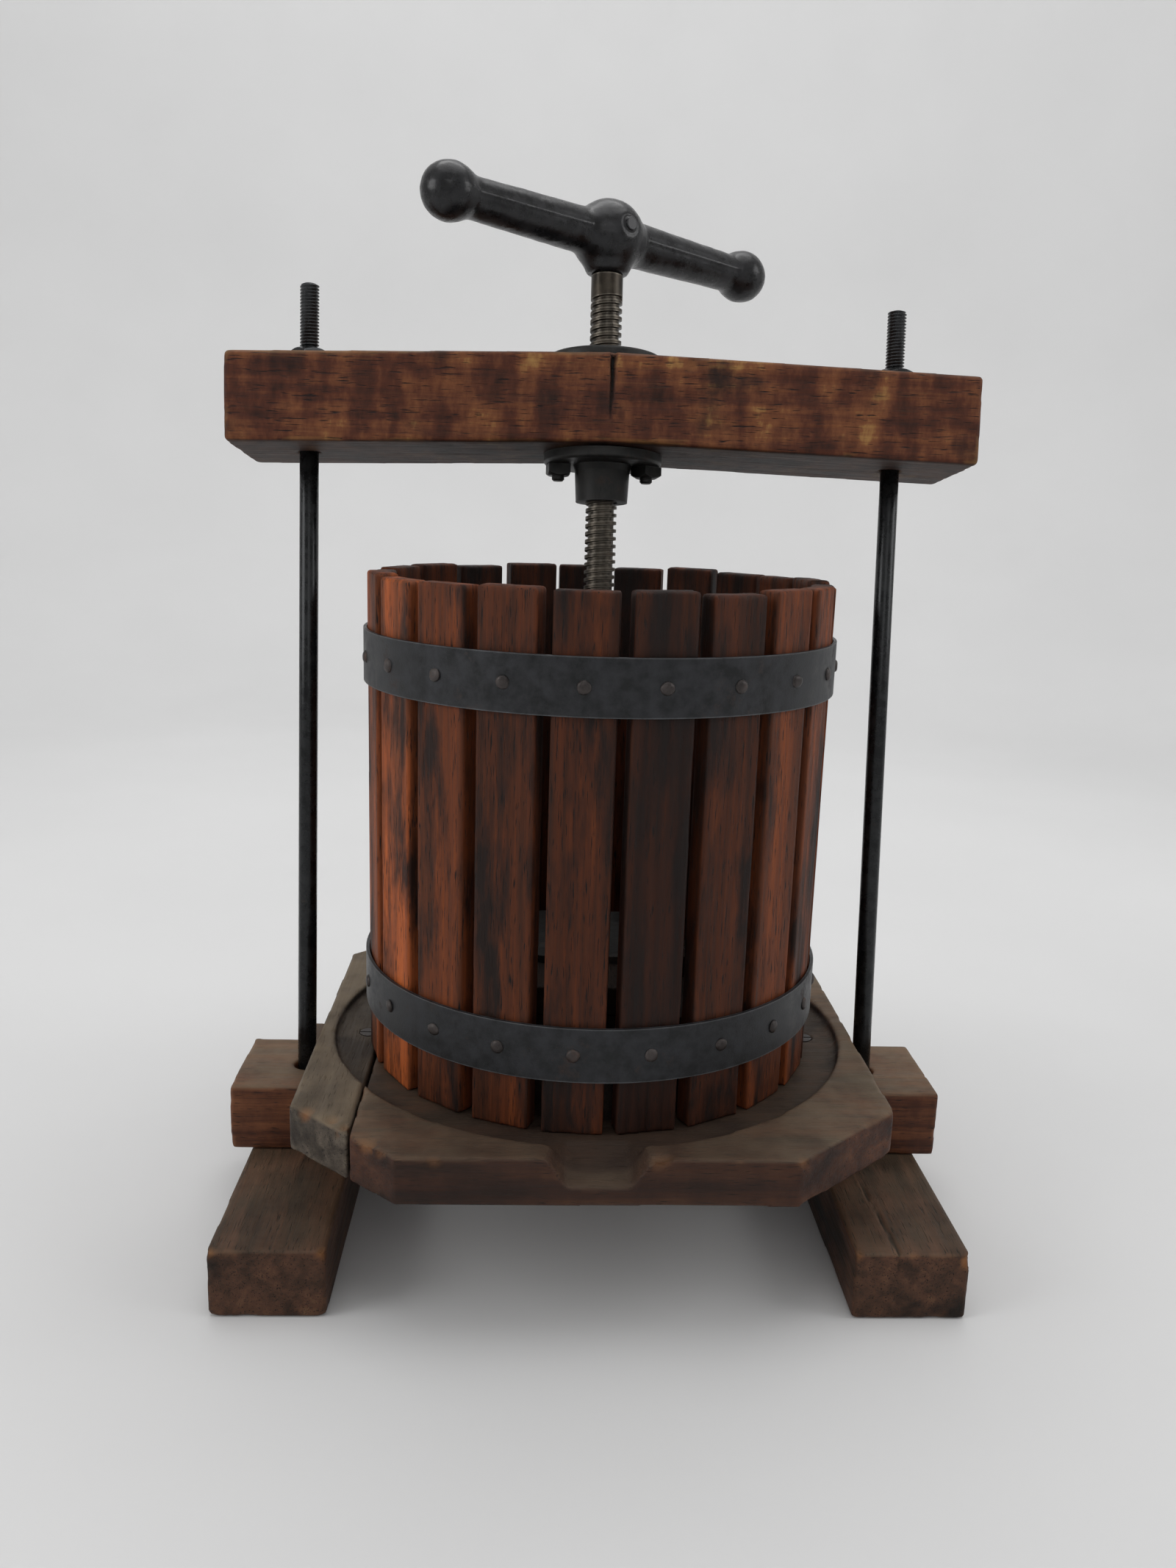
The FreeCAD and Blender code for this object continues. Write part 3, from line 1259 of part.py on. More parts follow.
def make_stave(number):
    body = new_body(f"stave_{number + 1:02d}")
    sketch = new_sketch(body, "StaveSection")
    half = f"{STAVE_WIDTH} / 2"
    back = "Sizes.basket_inside"
    polygon(
        sketch,
        [(back, f"-{half}"), (STAVE_FACE, f"-{half}"), (STAVE_FACE, half), (back, half)],
    )
    unevenness = f"sin({number} * Sizes.stave_rhythm) * Sizes.stave_unevenness"
    pad(body, sketch, f"Sizes.stave_length + {unevenness}")
    round_edges(body, "Sizes.stave_edge", long_edge(size("stave_length") / 2))
    outside = f"{STAVE_FACE} + Sizes.cut_overrun"
    holes = new_sketch(body, "NailHoles", "YZ_Plane", offset=["0", "0", outside])
    for height in HOOP_HEIGHTS.values():
        circle(holes, "Sizes.nail_shank_radius + Sizes.nail_clearance", "0", height)
    pocket(body, holes, "Sizes.nail_length")
    turn_about_z(body, stave_angle(number))
    return place(body, "0", "0", TRAY_FLOOR)


def lap_angle():
    """The middle of a hoop's lap: the gap between two staves at the basket's back."""
    count = size("stave_count")
    step = 360 / count
    gap = math.floor((180 - size("basket_turn")) / step) + 0.5
    return f"Sizes.basket_turn - 90 + {gap} * 360 / Sizes.stave_count"


def make_hoop(name, height):
    """An iron strap closed with a riveted lap at the back and nailed to every stave."""
    body = new_body(name)
    half = "Sizes.hoop_width / 2"
    ring = new_sketch(body, "HoopSection", "XZ_Plane")
    strap(ring, HOOP_INSIDE, HOOP_OUTSIDE, half)
    revolve(body, ring)
    lap = new_sketch(
        body,
        "LapSection",
        "XZ_Plane",
        turn_axis=Vector(0, 1, 0),
        turn=f"({lap_angle()}) - Sizes.hoop_lap_angle / 2 - ({stave_angle(0)})",
    )
    lap_inside = f"{HOOP_OUTSIDE} - Sizes.hoop_lap_bond"
    strap(lap, lap_inside, f"{HOOP_OUTSIDE} + Sizes.hoop_thickness", half)
    revolve(body, lap, "V_Axis", "Sizes.hoop_lap_angle")
    rivets = new_sketch(
        body,
        "RivetHoles",
        "YZ_Plane",
        turn_axis=Vector(0, 1, 0),
        turn=f"({lap_angle()}) - ({stave_angle(0)})",
    )
    for side in (-1, 1):
        circle(rivets, f"Sizes.rivet_radius + {FIT}", "0", f"{side} * Sizes.rivet_spacing / 2")
    pocket(body, rivets, reverse=True)
    nails = new_sketch(body, "NailHole", "YZ_Plane")
    circle(nails, "Sizes.nail_shank_radius + Sizes.nail_clearance")
    repeat_round(body, pocket(body, nails, reverse=True), "Sizes.stave_count")
    turn_about_z(body, stave_angle(0))
    return place(body, "0", "0", f"{TRAY_FLOOR} + {height}")


def strap(sketch, inside, outside, half):
    polygon(
        sketch,
        [(inside, f"-{half}"), (outside, f"-{half}"), (outside, half), (inside, half)],
    )


def make_hoop_nails(name, height):
    """One domed nail per stave, drawn once and repeated round the basket's axis."""
    body = new_body(name)
    body.AllowCompound = True
    sketch = new_sketch(body, "NailProfile", "XZ_Plane")
    head = "Sizes.nail_head_radius"
    shank = "Sizes.nail_shank_radius"
    start = f"({HOOP_OUTSIDE} - Sizes.nail_length)"
    tall = "Sizes.nail_head_height"
    dome = [
        (f"{HOOP_OUTSIDE} + {tall} * {rise}", f"{head} * {spread}")
        for rise, spread in (DOME_TOP, DOME_SHOULDER)
    ]
    polygon(
        sketch,
        [
            (start, "0"),
            (f"{HOOP_OUTSIDE} + {tall}", "0"),
            *dome,
            (HOOP_OUTSIDE, head),
            (HOOP_OUTSIDE, shank),
            (f"{start} + Sizes.nail_point", shank),
        ],
    )
    repeat_round(body, revolve(body, sketch, "H_Axis"), "Sizes.stave_count")
    turn_about_z(body, stave_angle(0))
    return place(body, "0", "0", f"{TRAY_FLOOR} + {height}")


def make_hoop_rivets():
    """Two rivets for each lap, one above the other, whose inner heads lie between two staves."""
    rivets = []
    inner = f"({HOOP_INSIDE} - {FIT})"
    outer = f"({HOOP_OUTSIDE} + Sizes.hoop_thickness)"
    head = "Sizes.rivet_head_radius"
    tall = "Sizes.rivet_head_height"
    shank = "Sizes.rivet_radius"
    rise, spread = RIVET_TOP
    for hoop in HOOP_HEIGHTS.values():
        for side in (-1, 1):
            body = new_body(f"rivet_{len(rivets) + 1}")
            sketch = new_sketch(body, "RivetProfile", "XZ_Plane")
            polygon(
                sketch,
                [
                    (f"{inner} - {tall}", "0"),
                    (f"{outer} + {tall}", "0"),
                    (f"{outer} + {tall} * {rise}", f"{head} * {spread}"),
                    (outer, head),
                    (outer, shank),
                    (inner, shank),
                    (inner, head),
                    (f"{inner} - {tall} * {rise}", f"{head} * {spread}"),
                ],
            )
            revolve(body, sketch, "H_Axis")
            rivets.append(place(body, "0", "0", f"{hoop} + {side} * Sizes.rivet_spacing / 2"))
    group = turn_about_z(gather("hoop_rivets", rivets), lap_angle())
    return place(group, "0", "0", TRAY_FLOOR)


# ---------------------------------------------------------------- the follower


def make_follower_board(name, side):
    """side is -1, 0 or 1: the left, middle and right boards of the round follower."""
    disc = cylinder(f"{name}_disc", FOLLOWER_RADIUS, "Sizes.follower_thickness")
    width = "Sizes.follower_board_width"
    reach = FOLLOWER_RADIUS
    middle = f"{side} * ({width} / 2 + {reach} / 2 + Sizes.follower_gap)"
    length = width if side == 0 else reach
    strip = block(f"{name}_strip", length, f"{reach} * 2", "Sizes.follower_thickness", middle)
    board = doc.addObject("Part::Common", f"{name}_blank")
    board.Base = disc
    board.Tool = strip
    holes = follower_screw_holes(f"{name}_hole", "Sizes.follower_thickness")
    result = cut(name, board, holes)
    return place(result, "0", "0", TRAY_FLOOR)


def follower_screw_places():
    """The four corners where the battens are screwed to the boards."""
    corners = [(-1, -1), (1, -1), (1, 1), (-1, 1)]
    return [(f"{a} * {FOLLOWER_SCREW_PLACE}", f"{b} * {BATTEN_PLACE}") for a, b in corners]


def follower_screw_holes(name, batten_foot):
    """Round cutters for the four screws. They pass the battens' top, and batten_foot is its foot."""
    radius = f"Sizes.follower_screw_radius + {FIT}"
    length = f"Sizes.follower_screw_length + {FIT} + Sizes.cut_overrun"
    foot = f"{batten_foot} + Sizes.batten_height - Sizes.follower_screw_length - {FIT}"
    cutters = [
        cylinder(f"{name}_{k}", radius, length, x, y, foot)
        for k, (x, y) in enumerate(follower_screw_places())
    ]
    return fuse(f"{name}s", cutters)


def make_follower_screws():
    """Round-headed screws that hold the battens to the boards."""
    heads = []
    shank = "Sizes.follower_screw_radius"
    head = "Sizes.follower_screw_head"
    tall = "Sizes.follower_screw_crown"
    rise, spread = RIVET_TOP
    for k, (x, y) in enumerate(follower_screw_places()):
        body = new_body(f"follower_screw_{k + 1}")
        sketch = new_sketch(body, "ScrewProfile", "XZ_Plane")
        polygon(
            sketch,
            [
                ("0", "-Sizes.follower_screw_length"),
                (shank, "-(Sizes.follower_screw_length - Sizes.follower_screw_point)"),
                (shank, "0"),
                (head, "0"),
                (f"{head} * {spread}", f"{tall} * {rise}"),
                ("0", tall),
            ],
        )
        revolve(body, sketch)
        heads.append(place(body, x, y))
    return place(gather("follower_screws", heads), "0", "0", BLOCK_FOOT)


def make_batten(name, side):
    middle = f"{side} * {BATTEN_PLACE}"
    length = f"(2 * {BATTEN_REACH})"
    bar = block(f"{name}_bar", length, "Sizes.batten_width", "Sizes.batten_height", "0", middle)
    result = cut(name, bar, follower_screw_holes(f"{name}_hole", "0"))
    return place(result, "0", "0", BATTEN_FOOT)


def make_press_block():
    body = new_body("press_block")
    sketch = new_sketch(body, "BlockPlan")
    rectangle(sketch, "Sizes.block_width", "Sizes.block_length")
    pad(body, sketch, "Sizes.block_height")
    round_edges(body, "Sizes.timber_edge", long_edge(1))
    return place(body, "0", "0", BLOCK_FOOT)


def make_wear_plate():
    body = new_body("wear_plate")
    sketch = new_sketch(body, "PlatePlan")
    rectangle(sketch, "Sizes.wear_plate_width", "Sizes.wear_plate_length")
    pad(body, sketch, "Sizes.wear_plate_thickness")
    upright = lambda edge: edge.Vertexes[0].Point.z != edge.Vertexes[-1].Point.z
    round_edges(body, "Sizes.wear_plate_corner", upright)
    return place(body, "0", "Sizes.wear_plate_shift", WEAR_FOOT)


# ---------------------------------------------------------------- the whole press


def build_pieces():
    pieces = [
        make_foot("foot_left", -1),
        make_foot("foot_right", 1),
        make_cross_beam(),
        make_tray_board("tray_board_main", 1),
        make_tray_board("tray_board_left", -1),
        make_dowels(),
        make_tray_screws(),
        make_rod("rod_left", -1, "Sizes.rod_left_reach"),
        make_rod("rod_right", 1, "Sizes.rod_right_reach"),
        *make_rod_nuts(),
        make_rod_washers(),
        make_head_beam(),
        make_screw_nut(),
        make_top_plate(),
        make_flange_bolts(),
        make_flange_nuts(),
        make_press_screw(),
        make_shoe(),
        make_shoe_pin(),
        make_handle(),
        make_handle_pin(),
    ]
    pieces += [make_stave(number) for number in range(int(size("stave_count")))]
    for level, height in HOOP_HEIGHTS.items():
        pieces.append(make_hoop(f"hoop_{level}", height))
        pieces.append(make_hoop_nails(f"hoop_nails_{level}", height))
    pieces.append(make_hoop_rivets())
    for name, side in (("left", -1), ("middle", 0), ("right", 1)):
        pieces.append(make_follower_board(f"follower_board_{name}", side))
    pieces += [make_batten("batten_front", -1), make_batten("batten_back", 1)]
    pieces += [make_press_block(), make_wear_plate(), make_follower_screws()]
    return pieces


def check_document():
    faults = []
    for item in doc.Objects:
        if "Invalid" in item.State or "Error" in item.State:
            faults.append(f"{item.Label}: {item.State}")
    if faults:
        raise RuntimeError("; ".join(faults))


def write_pieces(pieces):
    os.makedirs("parts", exist_ok=True)
    for piece in pieces:
        if piece.Shape.isNull() or not piece.Shape.isValid():
            raise RuntimeError(f"{piece.Label} has no valid shape")
        piece.Shape.exportStep(f"parts/{piece.Label}.step")


fill_sheet()
all_pieces = build_pieces()
doc.recompute()
check_document()
write_pieces(all_pieces)
print(len(all_pieces), "pieces written")
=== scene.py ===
# %% [markdown]
# # A table-top cider press
# A small press squeezes crushed apples. A round basket of oak staves stands on a juice tray, and a
# hand screw in a head beam pushes a follower down inside it. This lesson gives the pieces their
# old wood and iron, and models again those whose shape was too plain.

# %% Load the press
import math

import bmesh
import bpy
from mathutils import Matrix, Vector, noise


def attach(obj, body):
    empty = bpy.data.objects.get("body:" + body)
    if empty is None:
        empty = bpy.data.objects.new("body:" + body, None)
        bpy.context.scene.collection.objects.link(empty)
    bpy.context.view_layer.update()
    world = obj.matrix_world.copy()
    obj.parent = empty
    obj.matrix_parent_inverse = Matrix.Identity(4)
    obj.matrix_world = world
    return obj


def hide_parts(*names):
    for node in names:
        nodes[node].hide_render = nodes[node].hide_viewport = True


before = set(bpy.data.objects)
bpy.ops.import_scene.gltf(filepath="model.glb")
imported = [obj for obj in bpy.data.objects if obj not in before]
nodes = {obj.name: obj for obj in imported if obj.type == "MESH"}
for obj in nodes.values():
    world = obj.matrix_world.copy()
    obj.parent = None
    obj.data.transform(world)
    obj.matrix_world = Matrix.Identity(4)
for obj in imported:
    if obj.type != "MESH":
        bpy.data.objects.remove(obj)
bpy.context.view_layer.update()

# %% [markdown]
# ## Camera
# The press was seen from a little left of its middle, just above the basket's rim, with a rather
# wide lens close by. The camera turns are a yaw, a pitch and a roll, in that order.

# %% Place the camera
MM = 0.001
yaw, pitch, roll = (math.radians(turn) for turn in (2.54, 12.67, 1.79))
turns = Matrix.Rotation(roll, 3, "Y") @ Matrix.Rotation(pitch, 3, "X")
turns = turns @ Matrix.Rotation(yaw, 3, "Z")
right, forward, up = turns
camera_data = bpy.data.cameras.new("camera")
camera_data.sensor_width = 36
camera_data.lens = 28.38
camera = bpy.data.objects.new("camera", camera_data)
bpy.context.scene.collection.objects.link(camera)
facing = Matrix((right, up, -forward)).transposed().to_4x4()
camera.matrix_world = Matrix.Translation(Vector((-31.12, -620.6, 361.35)) * MM) @ facing
bpy.context.scene.camera = camera
print("camera at", [round(x, 3) for x in camera.location])

# %% [markdown]
# ## Helpers for materials
# A material is a tree of nodes. `add` makes one node, sets its properties and links or fills its
# sockets, so each pattern reads as one line. Colours are written as on a paint chart, in sRGB, and
# `paint` turns them to the linear values that the renderer works in.


# %% Node and colour helpers
def paint(chart):
    """An sRGB hex colour as linear RGBA."""
    parts = [int(chart[k : k + 2], 16) / 255 for k in (1, 3, 5)]
    return [c / 12.92 if c <= 0.04045 else ((c + 0.055) / 1.055) ** 2.4 for c in parts] + [1.0]


def add(tree, kind, inputs=None, stops=None, **settings):
    """One node. inputs fills its sockets with values or other nodes' outputs, stops its ramp."""
    made = tree.nodes.new("ShaderNode" + kind)
    for key, value in settings.items():
        setattr(made, key, value)
    if stops:
        ramp = made.color_ramp.elements
        while len(ramp) < len(stops):
            ramp.new(1.0)
        for stop, (place, colour) in zip(ramp, sorted(stops)):
            stop.position = place
            stop.color = paint(colour) if isinstance(colour, str) else [colour] * 3 + [1.0]
    for key, value in (inputs or {}).items():
        if isinstance(value, bpy.types.NodeSocket):
            tree.links.new(value, made.inputs[key])
        else:
            made.inputs[key].default_value = value
    return made


def new_material(name):
    """An empty material with its shader and output."""
    material = bpy.data.materials.new(name)
    material.use_nodes = True
    tree = material.node_tree
    tree.nodes.clear()
    shader = add(tree, "BsdfPrincipled")
    add(tree, "OutputMaterial", {"Surface": shader.outputs["BSDF"]})
    return material, tree, shader


# A Mix node of colours keeps its sockets under these numbers.
FACTOR, FIRST, SECOND, MIXED = 0, 6, 7, 2


def blend(tree, factor, first, second, how="MIX"):
    """The output of one colour laid over another."""
    mix = add(
        tree,
        "Mix",
        {FACTOR: factor, FIRST: first, SECOND: second},
        data_type="RGBA",
        blend_type=how,
    )
    return mix.outputs[MIXED]


# %% [markdown]
# ## Old oak
# The timber is oak that has been oiled by hands and juice for a century. Oak has long fibres, open
# pores that show as short dark dashes, and broad figure where the growth rings are cut. Juice and
# iron turn its tannin black, so stains run along the grain. Each pattern is a noise that is
# stretched along the grain: its size across is the real width of the feature. Ray fleck, where a
# board is sawn through the rays, makes patches that stand across the grain. Edges are rubbed bare,
# chips are bright, and splits are painted near black as the shade deep inside them: each worn piece
# carries those three as attributes of its points. Dust lies on whatever faces up, and juice has
# darkened the tray.


# %% The oak material
SPOUT = (0.0, -0.14, 0.09)


def oak(name, grain, tones, stain, stain_share=0.5, dust=0.0, wear=0.5, ring_heart=(0, 0, 0),
        per_stave=None, fleck=0.0, stain_size=(26, 95), wet_below=None, underside_shade=0.0):
    """grain is the axis the fibres follow; tones run from dark to light."""
    material, tree, shader = new_material(name)
    place = add(tree, "TexCoord").outputs["Object"]
    axis = "XYZ".index(grain)

    def stretched(across, along, shift=0.0):
        """Coordinates for a feature so many millimetres across and along the grain."""
        scale = [1000 / across] * 3
        scale[axis] = 1000 / along
        return add(
            tree, "Mapping", {"Vector": place, "Scale": scale, "Location": [shift] * 3}
        ).outputs["Vector"]

    fibre = add(
        tree, "TexNoise",
        {"Vector": stretched(1.5, 60), "Scale": 1.0, "Detail": 5.0, "Roughness": 0.7},
    )
    figure = add(
        tree, "TexNoise",
        {"Vector": stretched(9, 170, 3.7), "Scale": 1.0, "Detail": 3.0, "Distortion": 0.5},
    )
    # Growth rings 4 to 5 mm apart round a heart that lies outside the board.
    heart = add(tree, "Mapping", {"Vector": place, "Location": [-c for c in ring_heart]})
    rings = add(
        tree, "TexWave",
        {"Vector": heart.outputs["Vector"], "Scale": 70.0, "Distortion": 3.5, "Detail": 3.0,
         "Detail Scale": 1.4, "Detail Roughness": 0.6},
        wave_type="RINGS", rings_direction=grain,
    )
    # Pores are 0.3 mm wide; they are drawn twice as wide, because thinner ones don't show.
    pores = add(
        tree, "TexNoise",
        {"Vector": stretched(0.7, 9, 1.3), "Scale": 1.0, "Detail": 2.0, "Roughness": 0.5},
    )
    pore_mask = add(
        tree, "ValToRGB", {"Fac": pores.outputs["Fac"]}, stops=[(0.60, 0.0), (0.70, 1.0)]
    ).outputs["Color"]
    tone = blend(tree, 0.62, fibre.outputs["Fac"], figure.outputs["Fac"])
    tone = blend(tree, 0.03, tone, rings.outputs["Fac"])
    if fleck:
        # Ray fleck and rubbed finish: patches that stand across the grain, each cut into dashes.
        patch = add(
            tree, "TexNoise",
            {"Vector": stretched(34, 17, 11.3), "Scale": 1.0, "Detail": 5.0, "Roughness": 0.62},
        ).outputs["Fac"]
        tone = blend(tree, fleck, tone, patch)
    ramp = add(tree, "ValToRGB", {"Fac": tone}, stops=list(zip((0.36, 0.46, 0.56, 0.68), tones)))
    colour = ramp.outputs["Color"]
    if per_stave:
        colour = per_stave(tree, place, colour)
    blotch = add(
        tree, "TexNoise",
        {"Vector": stretched(*stain_size, 7.1), "Scale": 1.0, "Detail": 5.0, "Roughness": 0.62},
    )
    low = 0.62 - 0.24 * stain_share
    blotch_mask = add(
        tree, "ValToRGB", {"Fac": blotch.outputs["Fac"]},
        stops=[(low, 0.0), (low + 0.16, 0.92)],
    ).outputs["Color"]
    colour = blend(tree, blotch_mask, colour, paint(stain))
    colour = blend(tree, pore_mask, colour, paint(stain))
    # Painted shade: each split is darkened nearly to black, standing in for the shade deep inside
    # the crack.
    crack_shade = add(tree, "Attribute", attribute_name="crack_shade").outputs["Fac"]
    colour = blend(tree, crack_shade, colour, paint("#070504"))
    normal = add(tree, "NewGeometry").outputs["Normal"]
    # Each worn piece carries how rubbed it is, from 0 on its faces to 1 on its edges.
    rubbed = add(tree, "Attribute", attribute_name="rubbed").outputs["Fac"]
    edge = add(
        tree, "MapRange",
        {"Value": rubbed, "From Min": 0.15, "From Max": 0.6, "To Max": wear},
    ).outputs["Result"]
    patchy = add(
        tree, "TexNoise", {"Vector": place, "Scale": 90.0, "Detail": 3.0}
    ).outputs["Fac"]
    edge = add(tree, "Math", {0: edge, 1: patchy}, operation="MULTIPLY").outputs["Value"]
    colour = blend(tree, edge, colour, paint(tones[-1]))
    if underside_shade:
        # Painted shade: faces that point downwards are darkened, standing in for the shade under
        # the beam.
        downward = add(tree, "SeparateXYZ", {"Vector": normal}).outputs["Z"]
        underside_shade_mask = add(
            tree, "MapRange",
            {"Value": downward, "From Min": -0.4, "From Max": -0.9, "To Max": underside_shade},
        ).outputs["Result"]
        colour = blend(tree, underside_shade_mask, colour, paint("#15110e"))
    # Chips show the bright wood inside.
    chipped = add(tree, "Attribute", attribute_name="chipped").outputs["Fac"]
    colour = blend(tree, chipped, colour, paint("#7c5230"))
    if dust:
        upward = add(tree, "SeparateXYZ", {"Vector": normal}).outputs["Z"]
        lying = add(
            tree, "MapRange",
            {"Value": upward, "From Min": 0.3, "From Max": 0.9, "To Max": dust},
        ).outputs["Result"]
        drift = add(
            tree, "TexNoise", {"Vector": place, "Scale": 38.0, "Detail": 6.0, "Roughness": 0.6}
        )
        drift_mask = add(
            tree, "MapRange",
            {"Value": drift.outputs["Fac"], "From Min": 0.32, "From Max": 0.62, "To Min": 0.35},
        ).outputs["Result"]
        lying = add(tree, "Math", {0: lying, 1: drift_mask}, operation="MULTIPLY").outputs[0]
        colour = blend(tree, lying, colour, paint("#7b6c58"))
    if wet_below:
        # Juice has stood in the recess for years: all that is lower and inside it is darker.
        parts = add(tree, "SeparateXYZ", {"Vector": place})
        flat = add(tree, "CombineXYZ", {"X": parts.outputs["X"], "Y": parts.outputs["Y"]})
        reach = add(tree, "VectorMath", {0: flat.outputs["Vector"]}, operation="LENGTH")
        low_enough = add(
            tree, "MapRange",
            {"Value": parts.outputs["Z"], "From Min": wet_below * MM,
             "From Max": (wet_below - 1.5) * MM, "To Max": 0.85},
        ).outputs["Result"]
        inside = add(
            tree, "MapRange",
            {"Value": reach.outputs["Value"], "From Min": 137 * MM, "From Max": 133.5 * MM},
        ).outputs["Result"]
        soaked = add(tree, "Math", {0: low_enough, 1: inside}, operation="MULTIPLY").outputs[0]
        soaked = add(tree, "Math", {0: soaked, 1: drift_mask}, operation="MULTIPLY").outputs[0]
        colour = blend(tree, soaked, colour, paint("#1d1410"))
        # What ran past the spout has darkened the boards round it.
        spout = add(tree, "VectorMath", {0: place, 1: SPOUT}, operation="DISTANCE")
        spilt = add(
            tree, "MapRange",
            {"Value": spout.outputs["Value"], "From Min": 125 * MM, "From Max": 55 * MM,
             "To Max": 0.62},
        ).outputs["Result"]
        colour = blend(tree, spilt, colour, paint("#2a1d17"))
    tree.links.new(colour, shader.inputs["Base Color"])
    gloss = add(
        tree, "MapRange",
        {"Value": fibre.outputs["Fac"], "From Min": 0.3, "From Max": 0.7, "To Min": 0.48,
         "To Max": 0.75},
    )
    tree.links.new(gloss.outputs["Result"], shader.inputs["Roughness"])
    height = blend(tree, 0.5, fibre.outputs["Fac"], figure.outputs["Fac"])
    height = blend(tree, pore_mask, height, [0.0, 0.0, 0.0, 1.0])
    relief = add(tree, "Bump", {"Height": height, "Distance": 0.5 * MM, "Strength": 0.75})
    tree.links.new(relief.outputs["Normal"], shader.inputs["Normal"])
    shader.inputs["IOR"].default_value = 1.5
    # Open, dry grain swallows most of the sheen that a smooth surface would have.
    shader.inputs["Specular IOR Level"].default_value = 0.22
    return material


# %% [markdown]
# Each stave was split from its own billet, so no two have the same colour, and each stands in its
# own place in the light: the tones are partly the staves' own wood and partly painted light and
# shade. One ramp holds a tone for each of the 21 staves, and the angle round the basket's axis
# picks it, so a single material serves them all.

# %% A tone for each stave
STAVES = 21
FIRST_STAVE = -5.7
# Each stave's tone: partly its own wood, partly painted light and shade for how it faces the lamps.
STAVE_TONES_AND_LIGHT = {
    1: 0.15, 2: 0.02, 3: 0.13, 4: 0.32, 5: 0.40, 6: 0.32, 7: 0.24, 8: 0.24, 9: 0.11, 10: 0.16,
    11: 0.20, 12: 0.13, 13: 0.17, 14: 0.11, 15: 0.24, 16: 0.30, 17: 0.50, 18: 0.62, 19: 0.88,
    20: 0.33, 21: 0.22,
}


def stave_tone_and_light(tree, place, colour):
    """Lightens or darkens the oak by the stave that it is on, for its own wood and for painted
    light and shade.
    """
    parts = add(tree, "SeparateXYZ", {"Vector": place})
    # The angle from the front, towards +X, as a share of a whole turn.
    turn = add(
        tree, "Math", {0: parts.outputs["X"], 1: parts.outputs["Y"]}, operation="ARCTAN2"
    )
    first_edge = -FIRST_STAVE / 360 + 0.5 / STAVES
    share = add(
        tree, "MapRange",
        {"Value": turn.outputs[0], "From Min": math.pi, "From Max": -math.pi,
         "To Min": first_edge, "To Max": 1 + first_edge},
        clamp=False,
    )
    share = add(tree, "Math", {0: share.outputs["Result"], 1: 1.0}, operation="FLOORED_MODULO")
    stops = [((k - 1) / STAVES, STAVE_TONES_AND_LIGHT[k]) for k in STAVE_TONES_AND_LIGHT]
    tones = add(tree, "ValToRGB", {"Fac": share.outputs[0]}, stops=stops)
    tones.color_ramp.interpolation = "CONSTANT"
    warm = blend(tree, 1.0, colour, [3.9, 3.1, 1.8, 1.0], "MULTIPLY")
    dark = blend(tree, 1.0, colour, [0.28, 0.28, 0.30, 1.0], "MULTIPLY")
    return blend(tree, tones.outputs["Color"], dark, warm)


# %% Make the oak finishes
stave_oak = oak(
    "stave_oak", "Z", ["#2d1911", "#432518", "#572f1d", "#6e3d22"], "#17100e",
    stain_share=0.6, wear=0.4, ring_heart=(0.21, -0.09, 0), per_stave=stave_tone_and_light,
    stain_size=(16, 75),
)
# The head beam's downward faces are darkened as painted shade.
head_beam_oak = oak(
    "head_beam_oak", "X", ["#29150e", "#4f291a", "#74462a", "#b08a50"], "#1d1210",
    stain_share=0.26, dust=0.2, wear=0.7, ring_heart=(0, 0.11, 0.26), fleck=0.62, underside_shade=0.75,
    stain_size=(30, 40),
)
cross_beam_oak = oak(
    "cross_beam_oak", "X", ["#25150f", "#4a2a1c", "#694029", "#855a3c"], "#1a1310",
    stain_share=0.2, dust=0.65, wear=0.45, ring_heart=(0, 0.08, -0.05), fleck=0.3,
)
runner_oak = oak(
    "runner_oak", "Y", ["#261a13", "#402c20", "#55392a", "#6c5039"], "#17110d",
    stain_share=0.5, dust=0.22, wear=0.5, ring_heart=(0.05, 0, -0.12), fleck=0.3,
)
tray_oak = oak(
    "tray_oak", "X", ["#22140f", "#3d251b", "#543424", "#6f4c34"], "#1b1410",
    stain_share=0.45, dust=0.6, wear=0.5, ring_heart=(0, 0.12, 0.16), fleck=0.35,
    wet_below=90.2,
)
tray_oak_grey = oak(
    "tray_oak_grey", "Y", ["#2a231c", "#403830", "#544b41", "#6c6254"], "#1b1612",
    stain_share=0.42, dust=0.7, wear=0.5, ring_heart=(0.1, 0, 0.2), wet_below=90.2,
)
follower_oak = oak(
    "follower_oak", "Y", ["#120c09", "#1f1510", "#2b1e17", "#3a2b21"], "#0d0907",
    stain_share=0.6, wear=0.3, ring_heart=(0.3, 0, 0.2),
)
